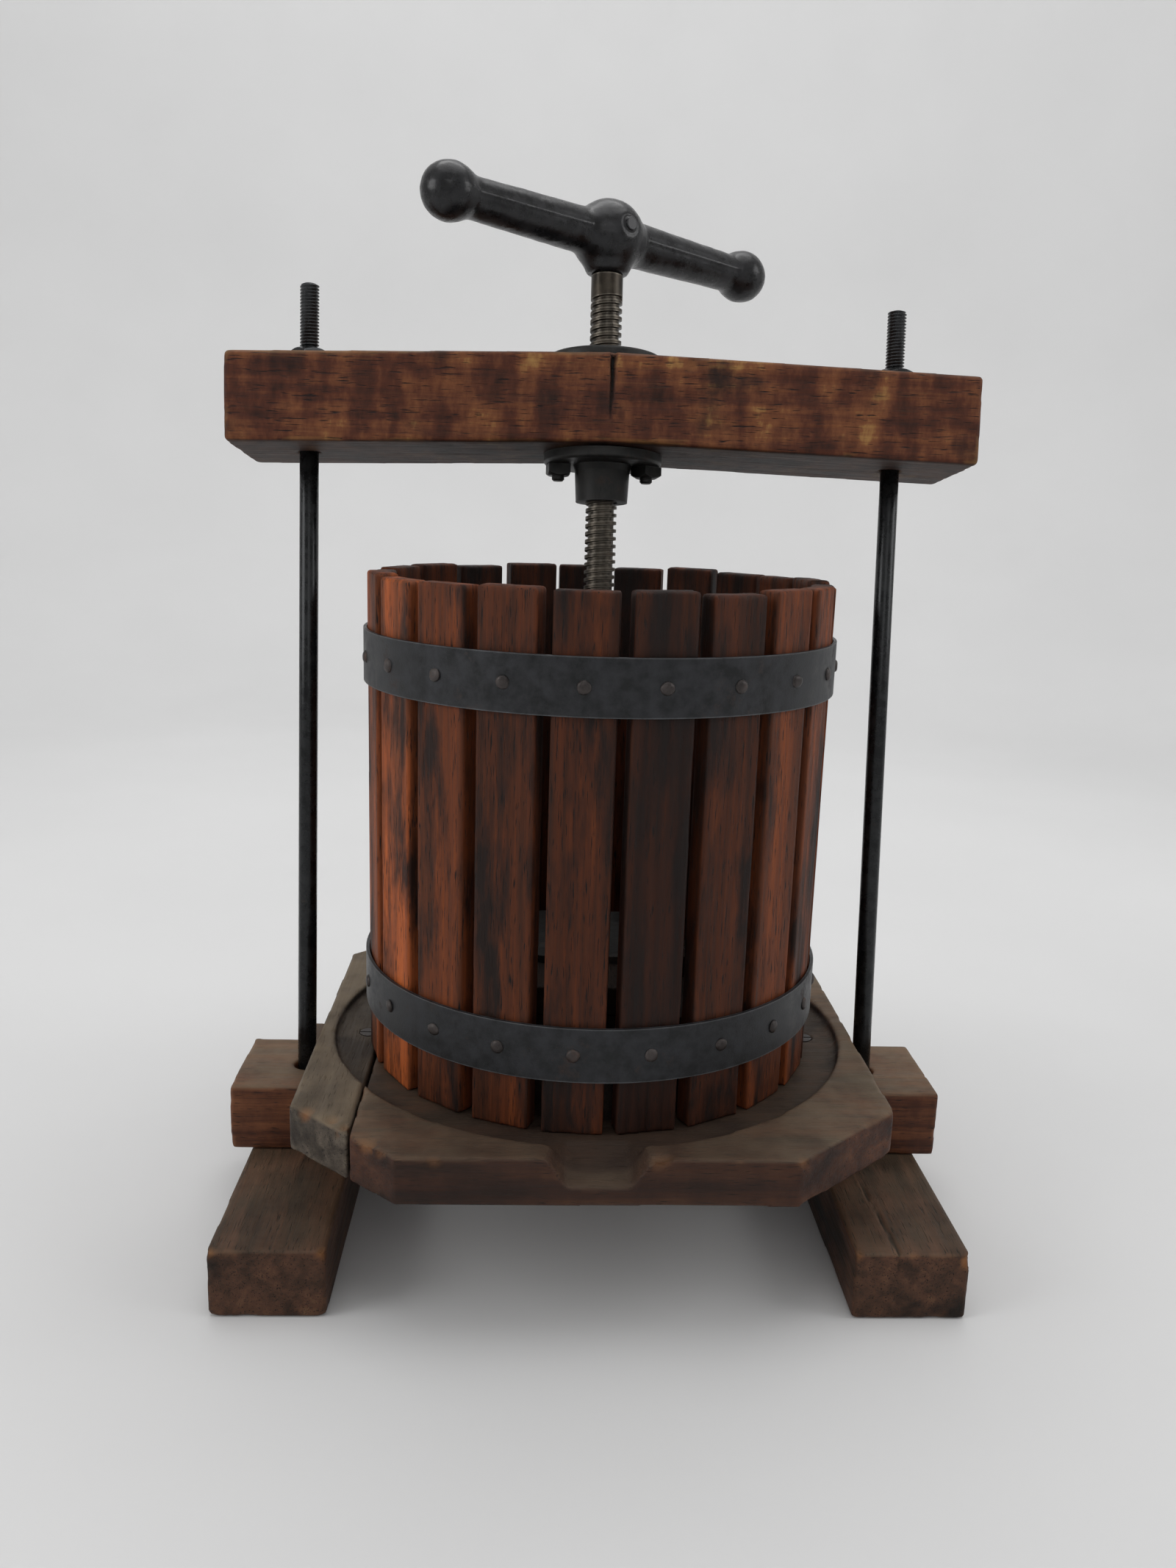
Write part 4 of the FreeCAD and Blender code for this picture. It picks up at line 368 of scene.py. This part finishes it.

# %% [markdown]
# ## Old iron
# The hoops are strap iron with mill scale: a blue-black skin, rubbed brighter on the edges, with
# brown rust where it was wet; the bright edges also serve as a painted highlight along them. The
# castings and rods are the same metal with other skins. Scale and rust are mottled in patches of a
# few millimetres and pitted in fractions of one.


# %% The iron material
def iron(name, skin, rust, bare_edge_and_highlight, rust_share=0.3, gloss=0.45, metal=0.75, wear=0.6, pit=0.12):
    """skin and its darker tone, rust, and the bare metal of rubbed edges, which also serves as a
    painted highlight.
    """
    material, tree, shader = new_material(name)
    place = add(tree, "TexCoord").outputs["Object"]
    mottle = add(
        tree, "TexNoise", {"Vector": place, "Scale": 140.0, "Detail": 6.0, "Roughness": 0.65}
    ).outputs["Fac"]
    grit = add(
        tree, "TexNoise", {"Vector": place, "Scale": 1100.0, "Detail": 3.0, "Roughness": 0.7}
    ).outputs["Fac"]
    colour = add(
        tree, "ValToRGB", {"Fac": mottle}, stops=list(zip((0.35, 0.65), skin))
    ).outputs["Color"]
    patch = add(
        tree, "TexNoise", {"Vector": place, "Scale": 55.0, "Detail": 8.0, "Roughness": 0.72}
    ).outputs["Fac"]
    low = 0.68 - 0.26 * rust_share
    rusty = add(
        tree, "ValToRGB", {"Fac": patch}, stops=[(low, 0.0), (low + 0.12, 0.85)]
    ).outputs["Color"]
    rust_tone = add(tree, "ValToRGB", {"Fac": grit}, stops=list(zip((0.35, 0.65), rust)))
    colour = blend(tree, rusty, colour, rust_tone.outputs["Color"])
    normal = add(tree, "NewGeometry").outputs["Normal"]
    # The edges are lightened: partly bare metal rubbed through the skin, partly a painted highlight
    # along them.
    rounded = add(tree, "Bevel", {"Radius": 1.1 * MM}, samples=4).outputs["Normal"]
    leaning = add(
        tree, "VectorMath", {0: rounded, 1: normal}, operation="DOT_PRODUCT"
    ).outputs["Value"]
    edge = add(
        tree, "MapRange",
        {"Value": leaning, "From Min": 0.99, "From Max": 0.85, "To Max": wear},
    ).outputs["Result"]
    edge = add(tree, "Math", {0: edge, 1: mottle}, operation="MULTIPLY").outputs[0]
    colour = blend(tree, edge, colour, paint(bare_edge_and_highlight))
    tree.links.new(colour, shader.inputs["Base Color"])
    rough = add(
        tree, "MapRange",
        {"Value": mottle, "From Min": 0.3, "From Max": 0.7, "To Min": gloss - 0.1,
         "To Max": gloss + 0.12},
    ).outputs["Result"]
    rough = blend(tree, rusty, rough, [0.85, 0.85, 0.85, 1.0])
    tree.links.new(rough, shader.inputs["Roughness"])
    clean = blend(tree, rusty, [metal] * 3 + [1.0], [0.1, 0.1, 0.1, 1.0])
    tree.links.new(clean, shader.inputs["Metallic"])
    height = blend(tree, 0.45, mottle, grit)
    relief = add(tree, "Bump", {"Height": height, "Distance": pit * MM, "Strength": 0.8})
    tree.links.new(relief.outputs["Normal"], shader.inputs["Normal"])
    return material


# %% Make the iron finishes
# The hoops' edges are lightened fully, as rubbed metal and as a painted highlight.
strap_iron = iron(
    "strap_iron", ["#202122", "#333437"], ["#2a1e19", "#41302a"], "#7d7f82",
    rust_share=0.34, gloss=0.44, metal=0.6, wear=1.0, pit=0.22,
)
cast_iron = iron(
    "cast_iron", ["#161617", "#262628"], ["#231b17", "#33261f"], "#56565a",
    rust_share=0.1, gloss=0.28, metal=0.4, pit=0.12,
)
plate_iron = iron(
    "plate_iron", ["#1a1a1a", "#2e2d2b"], ["#2d2019", "#46342a"], "#59595a",
    rust_share=0.4, gloss=0.5, metal=0.5, pit=0.25,
)
rod_steel = iron(
    "rod_steel", ["#1c1d1e", "#2e2f30"], ["#241a15", "#3a2c23"], "#75767a",
    rust_share=0.15, gloss=0.27, metal=0.7, pit=0.05,
)
thread_steel = iron(
    "thread_steel", ["#26221d", "#453e35"], ["#33261d", "#52402f"], "#a49c8f",
    rust_share=0.45, gloss=0.36, metal=0.75, wear=1.0, pit=0.06,
)
nail_iron = iron(
    "nail_iron", ["#2a2625", "#4a4442"], ["#3f2a20", "#5e4232"], "#8b8785",
    rust_share=0.45, gloss=0.45, metal=0.6, pit=0.12,
)

# %% [markdown]
# ## Worn timber
# Old timber has no straight edges: corners are rubbed round, a little more here than there, and
# the soft early wood has shrunk back between the hard rings. A drawn piece is copied, its loose
# triangles are merged, and a voxel remesh gives it an even skin of small squares. `smooth_vert`
# then rounds the edges, in some places more often than in others, and a noise stretched along the
# grain sinks the surface by a few tenths of a millimetre. Everything moves inwards, so the piece
# keeps its size. How much a point moved when it was rounded is stored as `rubbed`, for the finish.


# %% Helpers for worn pieces
def finished(name, mesh, material, body, stands_for):
    """Links a piece, gives it its finish and its body, and hides the drawn pieces under it."""
    mesh.materials.clear()
    mesh.materials.append(material)
    for face in mesh.polygons:
        face.use_smooth = True
    piece = bpy.data.objects.new(name, mesh)
    bpy.context.scene.collection.objects.link(piece)
    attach(piece, body)
    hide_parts(*stands_for)
    return piece


def even_skin(drawn, voxel):
    """A copy of a mesh as an even skin of squares, as a new mesh."""
    shell = bmesh.new()
    shell.from_mesh(drawn)
    bmesh.ops.remove_doubles(shell, verts=shell.verts, dist=1e-6)
    rough = bpy.data.meshes.new("rough")
    shell.to_mesh(rough)
    shell.free()
    holder = bpy.data.objects.new("rough", rough)
    bpy.context.scene.collection.objects.link(holder)
    remesh = holder.modifiers.new("skin", "REMESH")
    remesh.mode = "VOXEL"
    remesh.voxel_size = voxel * MM
    seen = holder.evaluated_get(bpy.context.evaluated_depsgraph_get())
    skin = bpy.data.meshes.new_from_object(seen)
    bpy.data.objects.remove(holder)
    bpy.data.meshes.remove(rough)
    return skin


def streak(point, axis, across, along, seed):
    """Noise from -1 to 1, stretched along an axis; sizes are in millimetres."""
    scaled = Vector(point) * (1000 / across)
    scaled[axis] = point[axis] * 1000 / along
    return noise.noise(scaled + Vector((seed, seed * 1.7, seed * 0.3)))


# A point that moved this far, in millimetres, when the edges were rounded is rubbed quite bare.
FULLY_RUBBED = 0.9


def wear_down(mesh, grain, rounds, worn_rounds, relief, seed, dents=(), cracks=()):
    """Rounds the edges unevenly, sinks the grain, and cuts dents and cracks."""
    axis = "XYZ".index(grain)
    body = bmesh.new()
    body.from_mesh(mesh)
    body.verts.ensure_lookup_table()
    before = [vert.co.copy() for vert in body.verts]
    soft = [vert for vert in body.verts if streak(vert.co, axis, 14, 34, seed) > 0.12]
    for _ in range(rounds):
        bmesh.ops.smooth_vert(
            body, verts=body.verts, factor=0.5, use_axis_x=True, use_axis_y=True, use_axis_z=True
        )
    for _ in range(worn_rounds):
        bmesh.ops.smooth_vert(
            body, verts=soft, factor=0.5, use_axis_x=True, use_axis_y=True, use_axis_z=True
        )
    body.normal_update()
    rubbed = [
        min(1.0, (vert.co - old).length / (FULLY_RUBBED * MM))
        for vert, old in zip(body.verts, before)
    ]
    chipped = [0.0] * len(rubbed)
    # How far each point is painted dark as the shade inside a split.
    crack_shade = [0.0] * len(rubbed)
    sunk = []
    for count, vert in enumerate(body.verts):
        fibres = streak(vert.co, axis, 4.2, 60, seed + 5)
        waves = streak(vert.co, axis, 12, 120, seed + 9)
        depth = relief * (0.55 * max(0.0, fibres) + 0.45 * (0.5 + 0.5 * waves))
        for centre, radius, deep in dents:
            near = (vert.co - Vector(centre) * MM).length / (radius * MM)
            ragged = 1 + 0.35 * streak(vert.co, axis, 2.5, 6, seed + 3)
            if near < ragged:
                depth += deep * (1 - (near / ragged) ** 2)
                chipped[count] = max(chipped[count], min(1.0, deep * (1 - near / ragged)))
        for start, end, width, deep in cracks:
            first, last = Vector(start) * MM, Vector(end) * MM
            run = last - first
            share = max(0.0, min(1.0, (vert.co - first).dot(run) / run.length_squared))
            place = vert.co * 160
            wander = Vector((noise.noise(place), 0, noise.noise(place + run))) * 0.6 * MM
            away = (vert.co + wander - first - run * share).length
            narrow = width * MM * (1 - 0.7 * share)
            if away < narrow:
                depth += deep * (1 - away / narrow)
                crack_shade[count] = max(crack_shade[count], min(1.0, 2 * (1 - away / narrow)))
        sunk.append(depth * MM)
    for vert, depth in zip(body.verts, sunk):
        vert.co -= vert.normal * depth
    body.to_mesh(mesh)
    body.free()
    for name, shares in (("rubbed", rubbed), ("chipped", chipped), ("crack_shade", crack_shade)):
        layer = mesh.attributes.new(name, "FLOAT", "POINT")
        layer.data.foreach_set("value", shares)
    return mesh


# %% [markdown]
# The runners' ends have split along the rays, the tray's edges are chipped where buckets knocked
# it, and the staves are rubbed most at their tops. Each piece gets its own seed, so that no two
# wear alike.

# %% Wear the timber
TIMBER = [
    # node, voxel in mm, grain, finish, slot, smoothing rounds, relief in mm
    ("head_beam", 1.05, "X", head_beam_oak, "head_beam_wood", 1, 0.3),
    ("cross_beam", 1.3, "X", cross_beam_oak, "cross_beam_wood", 1, 0.3),
    ("foot_left", 1.2, "Y", runner_oak, "runner_wood", 2, 0.35),
    ("foot_right", 1.2, "Y", runner_oak, "runner_wood", 2, 0.35),
    ("tray_board_main", 1.5, "X", tray_oak, "tray_wood", 1, 0.25),
    ("tray_board_left", 1.3, "Y", tray_oak_grey, "tray_wood_grey", 1, 0.3),
]
# Centre, radius and depth of each chip, in millimetres.
DENTS = {
    "tray_board_main": [
        ((-96, -140, 91), 5, 1.6), ((-101, -132, 91), 6, 1.8), ((26, -143, 91), 6, 2.2),
        ((-70, -145, 90), 4, 0.9), ((88, -143, 90), 4, 1.0), ((60, -145, 91), 3, 0.8),
    ],
    "tray_board_left": [
        ((-112, -118, 88), 4, 1.6), ((-118, -112, 91), 4, 1.2), ((-131, -104, 90), 5, 1.2),
    ],
    "foot_left": [((-120, -125, 33), 5, 1.5), ((-172, -125, 33), 4, 1.2)],
    "foot_right": [
        ((120, -125, 33), 4, 1.2), ((172, -125, 30), 5, 1.8), ((146, -125, 34), 3, 1.0),
    ],
    "head_beam": [((-181, -10, 425), 6, 1.5), ((180, -8, 380), 6, 1.8), ((40, 2, 429), 4, 0.8)],
}
# Start, end, half width and depth of each split, in millimetres.
CRACKS = {
    "foot_right": [
        ((139, -126, 33), (141, -126, 6), 1.5, 3.0),
        ((140, -125, 33.5), (137, -60, 33.5), 1.2, 1.6),
    ],
    "foot_left": [
        ((-150, -126, 20), (-165, -126, 14), 1.3, 1.6),
        ((-140, -126, 22), (-128, -126, 18), 1.3, 1.4),
    ],
    "head_beam": [((2.6, 2.6, 437), (1.4, -1.6, 400), 2.2, 3.4)],
}
EVEN_WEAR = 6
for seed, (node, voxel, grain, finish, slot, rounds, relief) in enumerate(TIMBER):
    skin = wear_down(
        even_skin(nodes[node].data, voxel), grain, rounds, EVEN_WEAR, relief, seed * 3.1,
        DENTS.get(node, ()), CRACKS.get(node, ()),
    )
    piece = finished("worn_" + node, skin, finish, "base", [node])
    print(piece.name, len(skin.polygons), "squares")
# The staves were nailed by eye, so the gaps differ: this one sits a degree further round.
STRAY_STAVE, STRAY = 13, -1.0
STAVE_VOXEL, STAVE_WEAR, STAVE_RELIEF = 1.25, 2, 0.18
for number in range(1, STAVES + 1):
    node = f"stave_{number:02d}"
    skin = wear_down(
        even_skin(nodes[node].data, STAVE_VOXEL), "Z", 0, STAVE_WEAR, STAVE_RELIEF, number * 2.3
    )
    if number == STRAY_STAVE:
        skin.transform(Matrix.Rotation(math.radians(STRAY), 4, "Z"))
    finished("worn_" + node, skin, stave_oak, "basket", [node])
print("staves", STAVES)

# %% [markdown]
# ## The rods
# The rods are cold-drawn steel with a coarse rolled thread at the top. The plain length is an
# outline spun once round the rod's axis. The thread is one pitch of its profile, spun many times
# round while it climbs: `spin` adds a small step along the axis at each turn of the crank. The
# rods lean back with the head beam, so they are made upright and then leaned.

# %% The leaning frame
LEAN = Matrix.Translation((0, -7.75 * MM, 68.3 * MM)) @ Matrix.Rotation(math.radians(-7), 4, "X")
UPRIGHT = (0, 0, 1)


def spin_outline(body, outline, steps=40):
    """Spins pairs of radius and height, in mm, once round the upright axis."""
    chain = [body.verts.new((r * MM, 0, z * MM)) for r, z in outline]
    edges = [body.edges.new(pair) for pair in zip(chain, chain[1:])]
    bmesh.ops.spin(
        body, geom=chain + edges, cent=(0, 0, 0), axis=UPRIGHT, angle=math.tau, steps=steps,
        use_merge=True,
    )


def spin_thread(body, profile, pitch, low, high, steps=24):
    """Spins one pitch of a thread's profile up a rod, then trims it to its two heights."""
    first = low - pitch
    chain = [body.verts.new((r * MM, 0, (first + z) * MM)) for r, z in profile]
    edges = [body.edges.new(pair) for pair in zip(chain, chain[1:])]
    rounds = math.ceil((high - low) / pitch) + 2
    bmesh.ops.spin(
        body, geom=chain + edges, cent=(0, 0, 0), axis=UPRIGHT, dvec=(0, 0, pitch * MM / steps),
        angle=math.tau * rounds, steps=steps * rounds,
    )
    bmesh.ops.remove_doubles(body, verts=body.verts, dist=2e-6)
    for height, side in ((low, -1), (high, 1)):
        cut = bmesh.ops.bisect_plane(
            body, geom=body.verts[:] + body.edges[:] + body.faces[:], plane_co=(0, 0, height * MM),
            plane_no=(0, 0, side), clear_outer=True,
        )
        rim = [edge for edge in cut["geom_cut"] if isinstance(edge, bmesh.types.BMEdge)]
        bmesh.ops.holes_fill(body, edges=rim)


def settle(body, name, matrix):
    """Merges, points the faces outwards, moves the shape to its place and makes it a mesh."""
    bmesh.ops.remove_doubles(body, verts=body.verts, dist=1e-6)
    bmesh.ops.transform(body, matrix=matrix, verts=body.verts)
    bmesh.ops.recalc_face_normals(body, faces=body.faces)
    mesh = bpy.data.meshes.new(name)
    body.to_mesh(mesh)
    body.free()
    return mesh


# %% Make the two rods
# The rod's radius, how far each rod stands from the middle, and the thread, in millimetres.
ROD, ROD_PLACE = 4.7625, 148.5
ROD_FOOT, THREAD_FOOT = -66.4, 352.0
PITCH = 1.5875
ROOT = ROD - 0.61 * PITCH
THREAD = [(ROOT, 0), (ROD, 0.42 * PITCH), (ROD, 0.55 * PITCH), (ROOT, 0.97 * PITCH), (ROOT, PITCH)]
for side, top in ((-1, 400.0), (1, 397.5)):
    name = "rod_left" if side < 0 else "rod_right"
    rod = bmesh.new()
    spin_thread(rod, THREAD, PITCH, THREAD_FOOT, top - 0.8)
    spin_outline(rod, [
        (0, ROD_FOOT), (ROD - 0.9, ROD_FOOT), (ROD, ROD_FOOT + 0.9), (ROD, THREAD_FOOT),
        (ROD - 0.9, THREAD_FOOT + 1.2), (0, THREAD_FOOT + 1.2),
    ])
    spin_outline(rod, [
        (0, top - 1.4), (ROD - 0.95, top - 1.4), (ROD - 1.1, top - 0.5), (ROD - 2.0, top - 0.1),
        (0, top),
    ])
    mesh = settle(rod, name, LEAN @ Matrix.Translation((side * ROD_PLACE * MM, 0, 0)))
    finished("threaded_" + name, mesh, rod_steel, "base", [name])
    print(name, len(mesh.polygons), "faces")

# %% [markdown]
# ## The handle
# The handle is one iron casting: two balls, tapering arms and a hub that runs down over the
# screw as a short skirt. A pattern maker leaves no sharp inside corner, so the balls and the hub
# flow into the arms. The bar's outline is worked out as a soft union of its round parts and spun
# round the bar; the skirt's outline is spun round the screw. A remesh makes them one skin, and a
# few rounds of smoothing melt the last corner away. A faint ridge runs along the bar where the
# two halves of the mould met.

# %% The bar's outline
AXIS_HEIGHT, HANDLE_TURN = 427.79, 35.5
BALL, BALL_PLACE, HUB = 13.3, 93.3, 18.3
ARM_ROOT, ARM_TIP = 11.4, 9.3


def bar_radius(along, softness=1.6):
    """The bar's radius so far along it: the soft union of the balls, the arms and the hub."""
    parts = []
    for radius, centre in ((BALL, BALL_PLACE), (HUB, 0.0)):
        left = radius**2 - (abs(along) - centre) ** 2
        if left > 0:
            parts.append(math.sqrt(left))
    if abs(along) < BALL_PLACE:
        parts.append(ARM_ROOT + (ARM_TIP - ARM_ROOT) * abs(along) / BALL_PLACE)
    return softness * math.log(sum(math.exp(part / softness) for part in parts))


bar_end = BALL_PLACE + BALL
bar_outline = [(0.0, -bar_end)]
for k in range(1, 160):
    place_along = -bar_end * math.cos(math.pi * k / 160)
    bar_outline.append((bar_radius(place_along), place_along))
bar_outline.append((0.0, bar_end))
skirt_outline = [
    (0, 4), (13.9, 4), (13.7, -8), (12.6, -13), (11.2, -16.5), (10.6, -18.5), (0, -18.5),
]

# %% Make the handle
handle = bmesh.new()
spin_outline(handle, bar_outline, 64)
bmesh.ops.rotate(
    handle, verts=handle.verts, cent=(0, 0, 0), matrix=Matrix.Rotation(math.radians(90), 3, "Y")
)
spin_outline(handle, skirt_outline, 64)
bar = LEAN @ Matrix.Translation((0, 0, AXIS_HEIGHT * MM))
bar = bar @ Matrix.Rotation(math.radians(HANDLE_TURN), 4, "Z")
rough_handle = settle(handle, "rough_handle", bar)
handle_skin = bmesh.new()
handle_skin.from_mesh(even_skin(rough_handle, 0.8))
to_bar = bar.inverted()
corner = [
    vert for vert in handle_skin.verts
    if abs((to_bar @ vert.co).x) < 24 * MM and (to_bar @ vert.co).z < 2 * MM
]
CORNER_ROUNDS, ALL_ROUNDS = 26, 4
for verts, rounds in ((corner, CORNER_ROUNDS), (handle_skin.verts, ALL_ROUNDS)):
    for _ in range(rounds):
        bmesh.ops.smooth_vert(
            handle_skin, verts=verts, factor=0.5, use_axis_x=True, use_axis_y=True, use_axis_z=True
        )
handle_skin.normal_update()
# The pin's height over the bar's axis, and the radius of the ring round it.
PIN_RISE, PIN_RING = 2.4, 4.3
for vert in handle_skin.verts:
    level = to_bar @ vert.co
    ridge = math.exp(-((level.z / (0.8 * MM)) ** 2))
    on_arm = 18 * MM < abs(level.x) < 84 * MM
    cast = 0.16 * noise.noise(vert.co * 130) + 0.07 * noise.noise(vert.co * 420)
    # A shallow ring is left round each end of the cross pin.
    ring = math.hypot(level.x, level.z - PIN_RISE * MM) / MM
    pin_ring = -0.5 * math.exp(-(((ring - PIN_RING) / 0.8) ** 2)) if abs(level.y) > 10 * MM else 0.0
    seam = 0.45 * ridge if on_arm else 0.1 * ridge
    vert.co += vert.normal * MM * (cast - 0.1 + seam + pin_ring)
handle_mesh = bpy.data.meshes.new("cast_handle")
handle_skin.to_mesh(handle_mesh)
handle_skin.free()
finished("cast_handle", handle_mesh, cast_iron, "screw", ["handle"])
print("handle", len(handle_mesh.polygons), "squares")

# %% [markdown]
# ## The hoop nails
# Forged nails with low domed heads hold the hoops to the staves. A hammer flattened each head in
# its own way. One sphere per nail is squashed, tilted and dented at random, with a fixed seed.

# %% Make the nails
HOOP_FACE = 116.75
HEAD_RADIUS, HEAD_RISE, MOST_TILT = 3.2, 1.5, 0.35
# A unit sphere is cut off at this height, where the hammer flattened it.
FLAT_TOP = 0.86
for level, height in (("low", 124.9), ("high", 288.5)):
    heads = bmesh.new()
    for number in range(STAVES):
        seed = number * 1.3 + height
        spread = 1 + 0.12 * noise.noise(Vector((seed, 0, 0)))
        squash = Matrix.Diagonal((HEAD_RADIUS * spread, HEAD_RADIUS / spread, HEAD_RISE, 1)) * MM
        squash[3][3] = 1
        tilt = Matrix.Rotation(MOST_TILT * noise.noise(Vector((0, seed, 0))), 4, "X")
        tilt @= Matrix.Rotation(MOST_TILT * noise.noise(Vector((0, 0, seed))), 4, "Y")
        made = bmesh.ops.create_uvsphere(heads, u_segments=14, v_segments=9, radius=1.0)
        for vert in made["verts"]:
            vert.co.z = min(vert.co.z, FLAT_TOP)
            vert.co *= 1 + 0.10 * noise.noise(vert.co * 1.6 + Vector((seed, seed, 0)))
        turn = math.radians(FIRST_STAVE - 90 + number * 360 / STAVES)
        out = Matrix.Rotation(turn, 4, "Z") @ Matrix.Translation((HOOP_FACE * MM, 0, height * MM))
        stand = out @ Matrix.Rotation(math.radians(90), 4, "Y") @ tilt @ squash
        bmesh.ops.transform(heads, matrix=stand, verts=made["verts"])
    mesh = settle(heads, "nails", Matrix.Identity(4))
    finished(
        f"forged_nails_{level}", mesh, nail_iron, "basket", [f"hoop_nails_{level}"]
    )
    print("nails", level, len(mesh.polygons), "faces")

# %% [markdown]
# ## Which finish goes where
# A piece that keeps its drawn shape only gets a new finish in each of its material slots.

# %% Dress the drawn pieces
finishes = {
    "stave": stave_oak,
    "head_beam": head_beam_oak,
    "cross_beam": cross_beam_oak,
    "foot": runner_oak,
    "tray_board_main": tray_oak,
    "tray_board_left": tray_oak_grey,
    "tray_dowels": tray_oak_grey,
    "follower_board": follower_oak,
    "batten": follower_oak,
    "press_block": follower_oak,
    "hoop_low": strap_iron,
    "hoop_high": strap_iron,
    "hoop_nails": nail_iron,
    "hoop_rivets": nail_iron,
    "screw_nut": plate_iron,
    "top_plate": plate_iron,
    "flange": plate_iron,
    "wear_plate": plate_iron,
    "rod_nuts": rod_steel,
    "rod_washers": rod_steel,
    "rod_left": rod_steel,
    "rod_right": rod_steel,
    "press_screw": thread_steel,
    "thrust_shoe": thread_steel,
    "shoe_pin": thread_steel,
    "handle": cast_iron,
    "tray_screws": nail_iron,
    "follower_screws": nail_iron,
}
for name, piece in nodes.items():
    start = max((key for key in finishes if name.startswith(key)), key=len)
    for slot in piece.material_slots:
        slot.material = finishes[start]
print("dressed", len(nodes))

# %% [markdown]
# ## Floor and light
# The press stands in a pale sweep: a floor that curves up into a wall, so that no horizon shows.
# It is one outline spun round the upright axis. Large soft lights hang above and at the sides.

# %% The sweep
outline = bmesh.new()
FLOOR_REACH, SWEEP, WALL = 1.5, 0.9, 2.4
points = [(0.0, 0.0), (FLOOR_REACH, 0.0)]
for k in range(1, 13):
    turn = math.radians(90 * k / 12)
    points.append((FLOOR_REACH + SWEEP * math.sin(turn), SWEEP * (1 - math.cos(turn))))
points.append((FLOOR_REACH + SWEEP, WALL))
chain = [outline.verts.new((r, 0, z)) for r, z in points]
edges = [outline.edges.new(pair) for pair in zip(chain, chain[1:])]
bmesh.ops.spin(
    outline, geom=chain + edges, cent=(0, 0, 0), axis=(0, 0, 1), angle=math.tau, steps=96,
    use_merge=True,
)
bmesh.ops.remove_doubles(outline, verts=outline.verts, dist=1e-5)
bmesh.ops.recalc_face_normals(outline, faces=outline.faces)
bmesh.ops.reverse_faces(outline, faces=outline.faces)
sweep_mesh = bpy.data.meshes.new("floor_sweep")
outline.to_mesh(sweep_mesh)
outline.free()
for face in sweep_mesh.polygons:
    face.use_smooth = True
floor = bpy.data.objects.new("floor_sweep", sweep_mesh)
bpy.context.scene.collection.objects.link(floor)
paper, tree, shader = new_material("pale_paper")
place = add(tree, "TexCoord").outputs["Object"]
mottle = add(tree, "TexNoise", {"Scale": 3.0, "Detail": 3.0, "Vector": place})
sheet_tone = add(
    tree, "ValToRGB", {"Fac": mottle.outputs["Fac"]}, stops=[(0.3, "#d6d6d6"), (0.7, "#dadada")]
)
tree.links.new(sheet_tone.outputs["Color"], shader.inputs["Base Color"])
shader.inputs["Roughness"].default_value = 0.9
sweep_mesh.materials.append(paper)


# %% The lights
def soft_light(name, place, size, watts, aim=(0, 0, 0.2)):
    """A round soft light at a place, turned to face a point."""
    lamp = bpy.data.lights.new(name, "AREA")
    lamp.shape = "DISK"
    lamp.size = size
    lamp.energy = watts
    holder = bpy.data.objects.new(name, lamp)
    holder.location = place
    direction = Vector(aim) - Vector(place)
    holder.rotation_euler = direction.to_track_quat("-Z", "Y").to_euler()
    bpy.context.scene.collection.objects.link(holder)


soft_light("top_light", (0.0, 0.15, 1.9), 1.8, 12)
soft_light("left_light", (-1.5, -0.6, 0.9), 0.9, 8)
soft_light("right_light", (1.5, -0.3, 1.0), 0.9, 6)
soft_light("front_light", (0.2, -1.9, 1.3), 1.0, 3)
soft_light("wall_light", (0.0, 0.9, 2.3), 1.6, 16, aim=(0, 2.6, 1.0))
world = bpy.data.worlds.new("room")
world.use_nodes = True
world.node_tree.nodes["Background"].inputs["Color"].default_value = (1, 1, 1, 1)
world.node_tree.nodes["Background"].inputs["Strength"].default_value = 0.62
bpy.context.scene.world = world
bpy.context.scene.view_settings.view_transform = "Standard"
bpy.context.scene.view_settings.exposure = -0.15
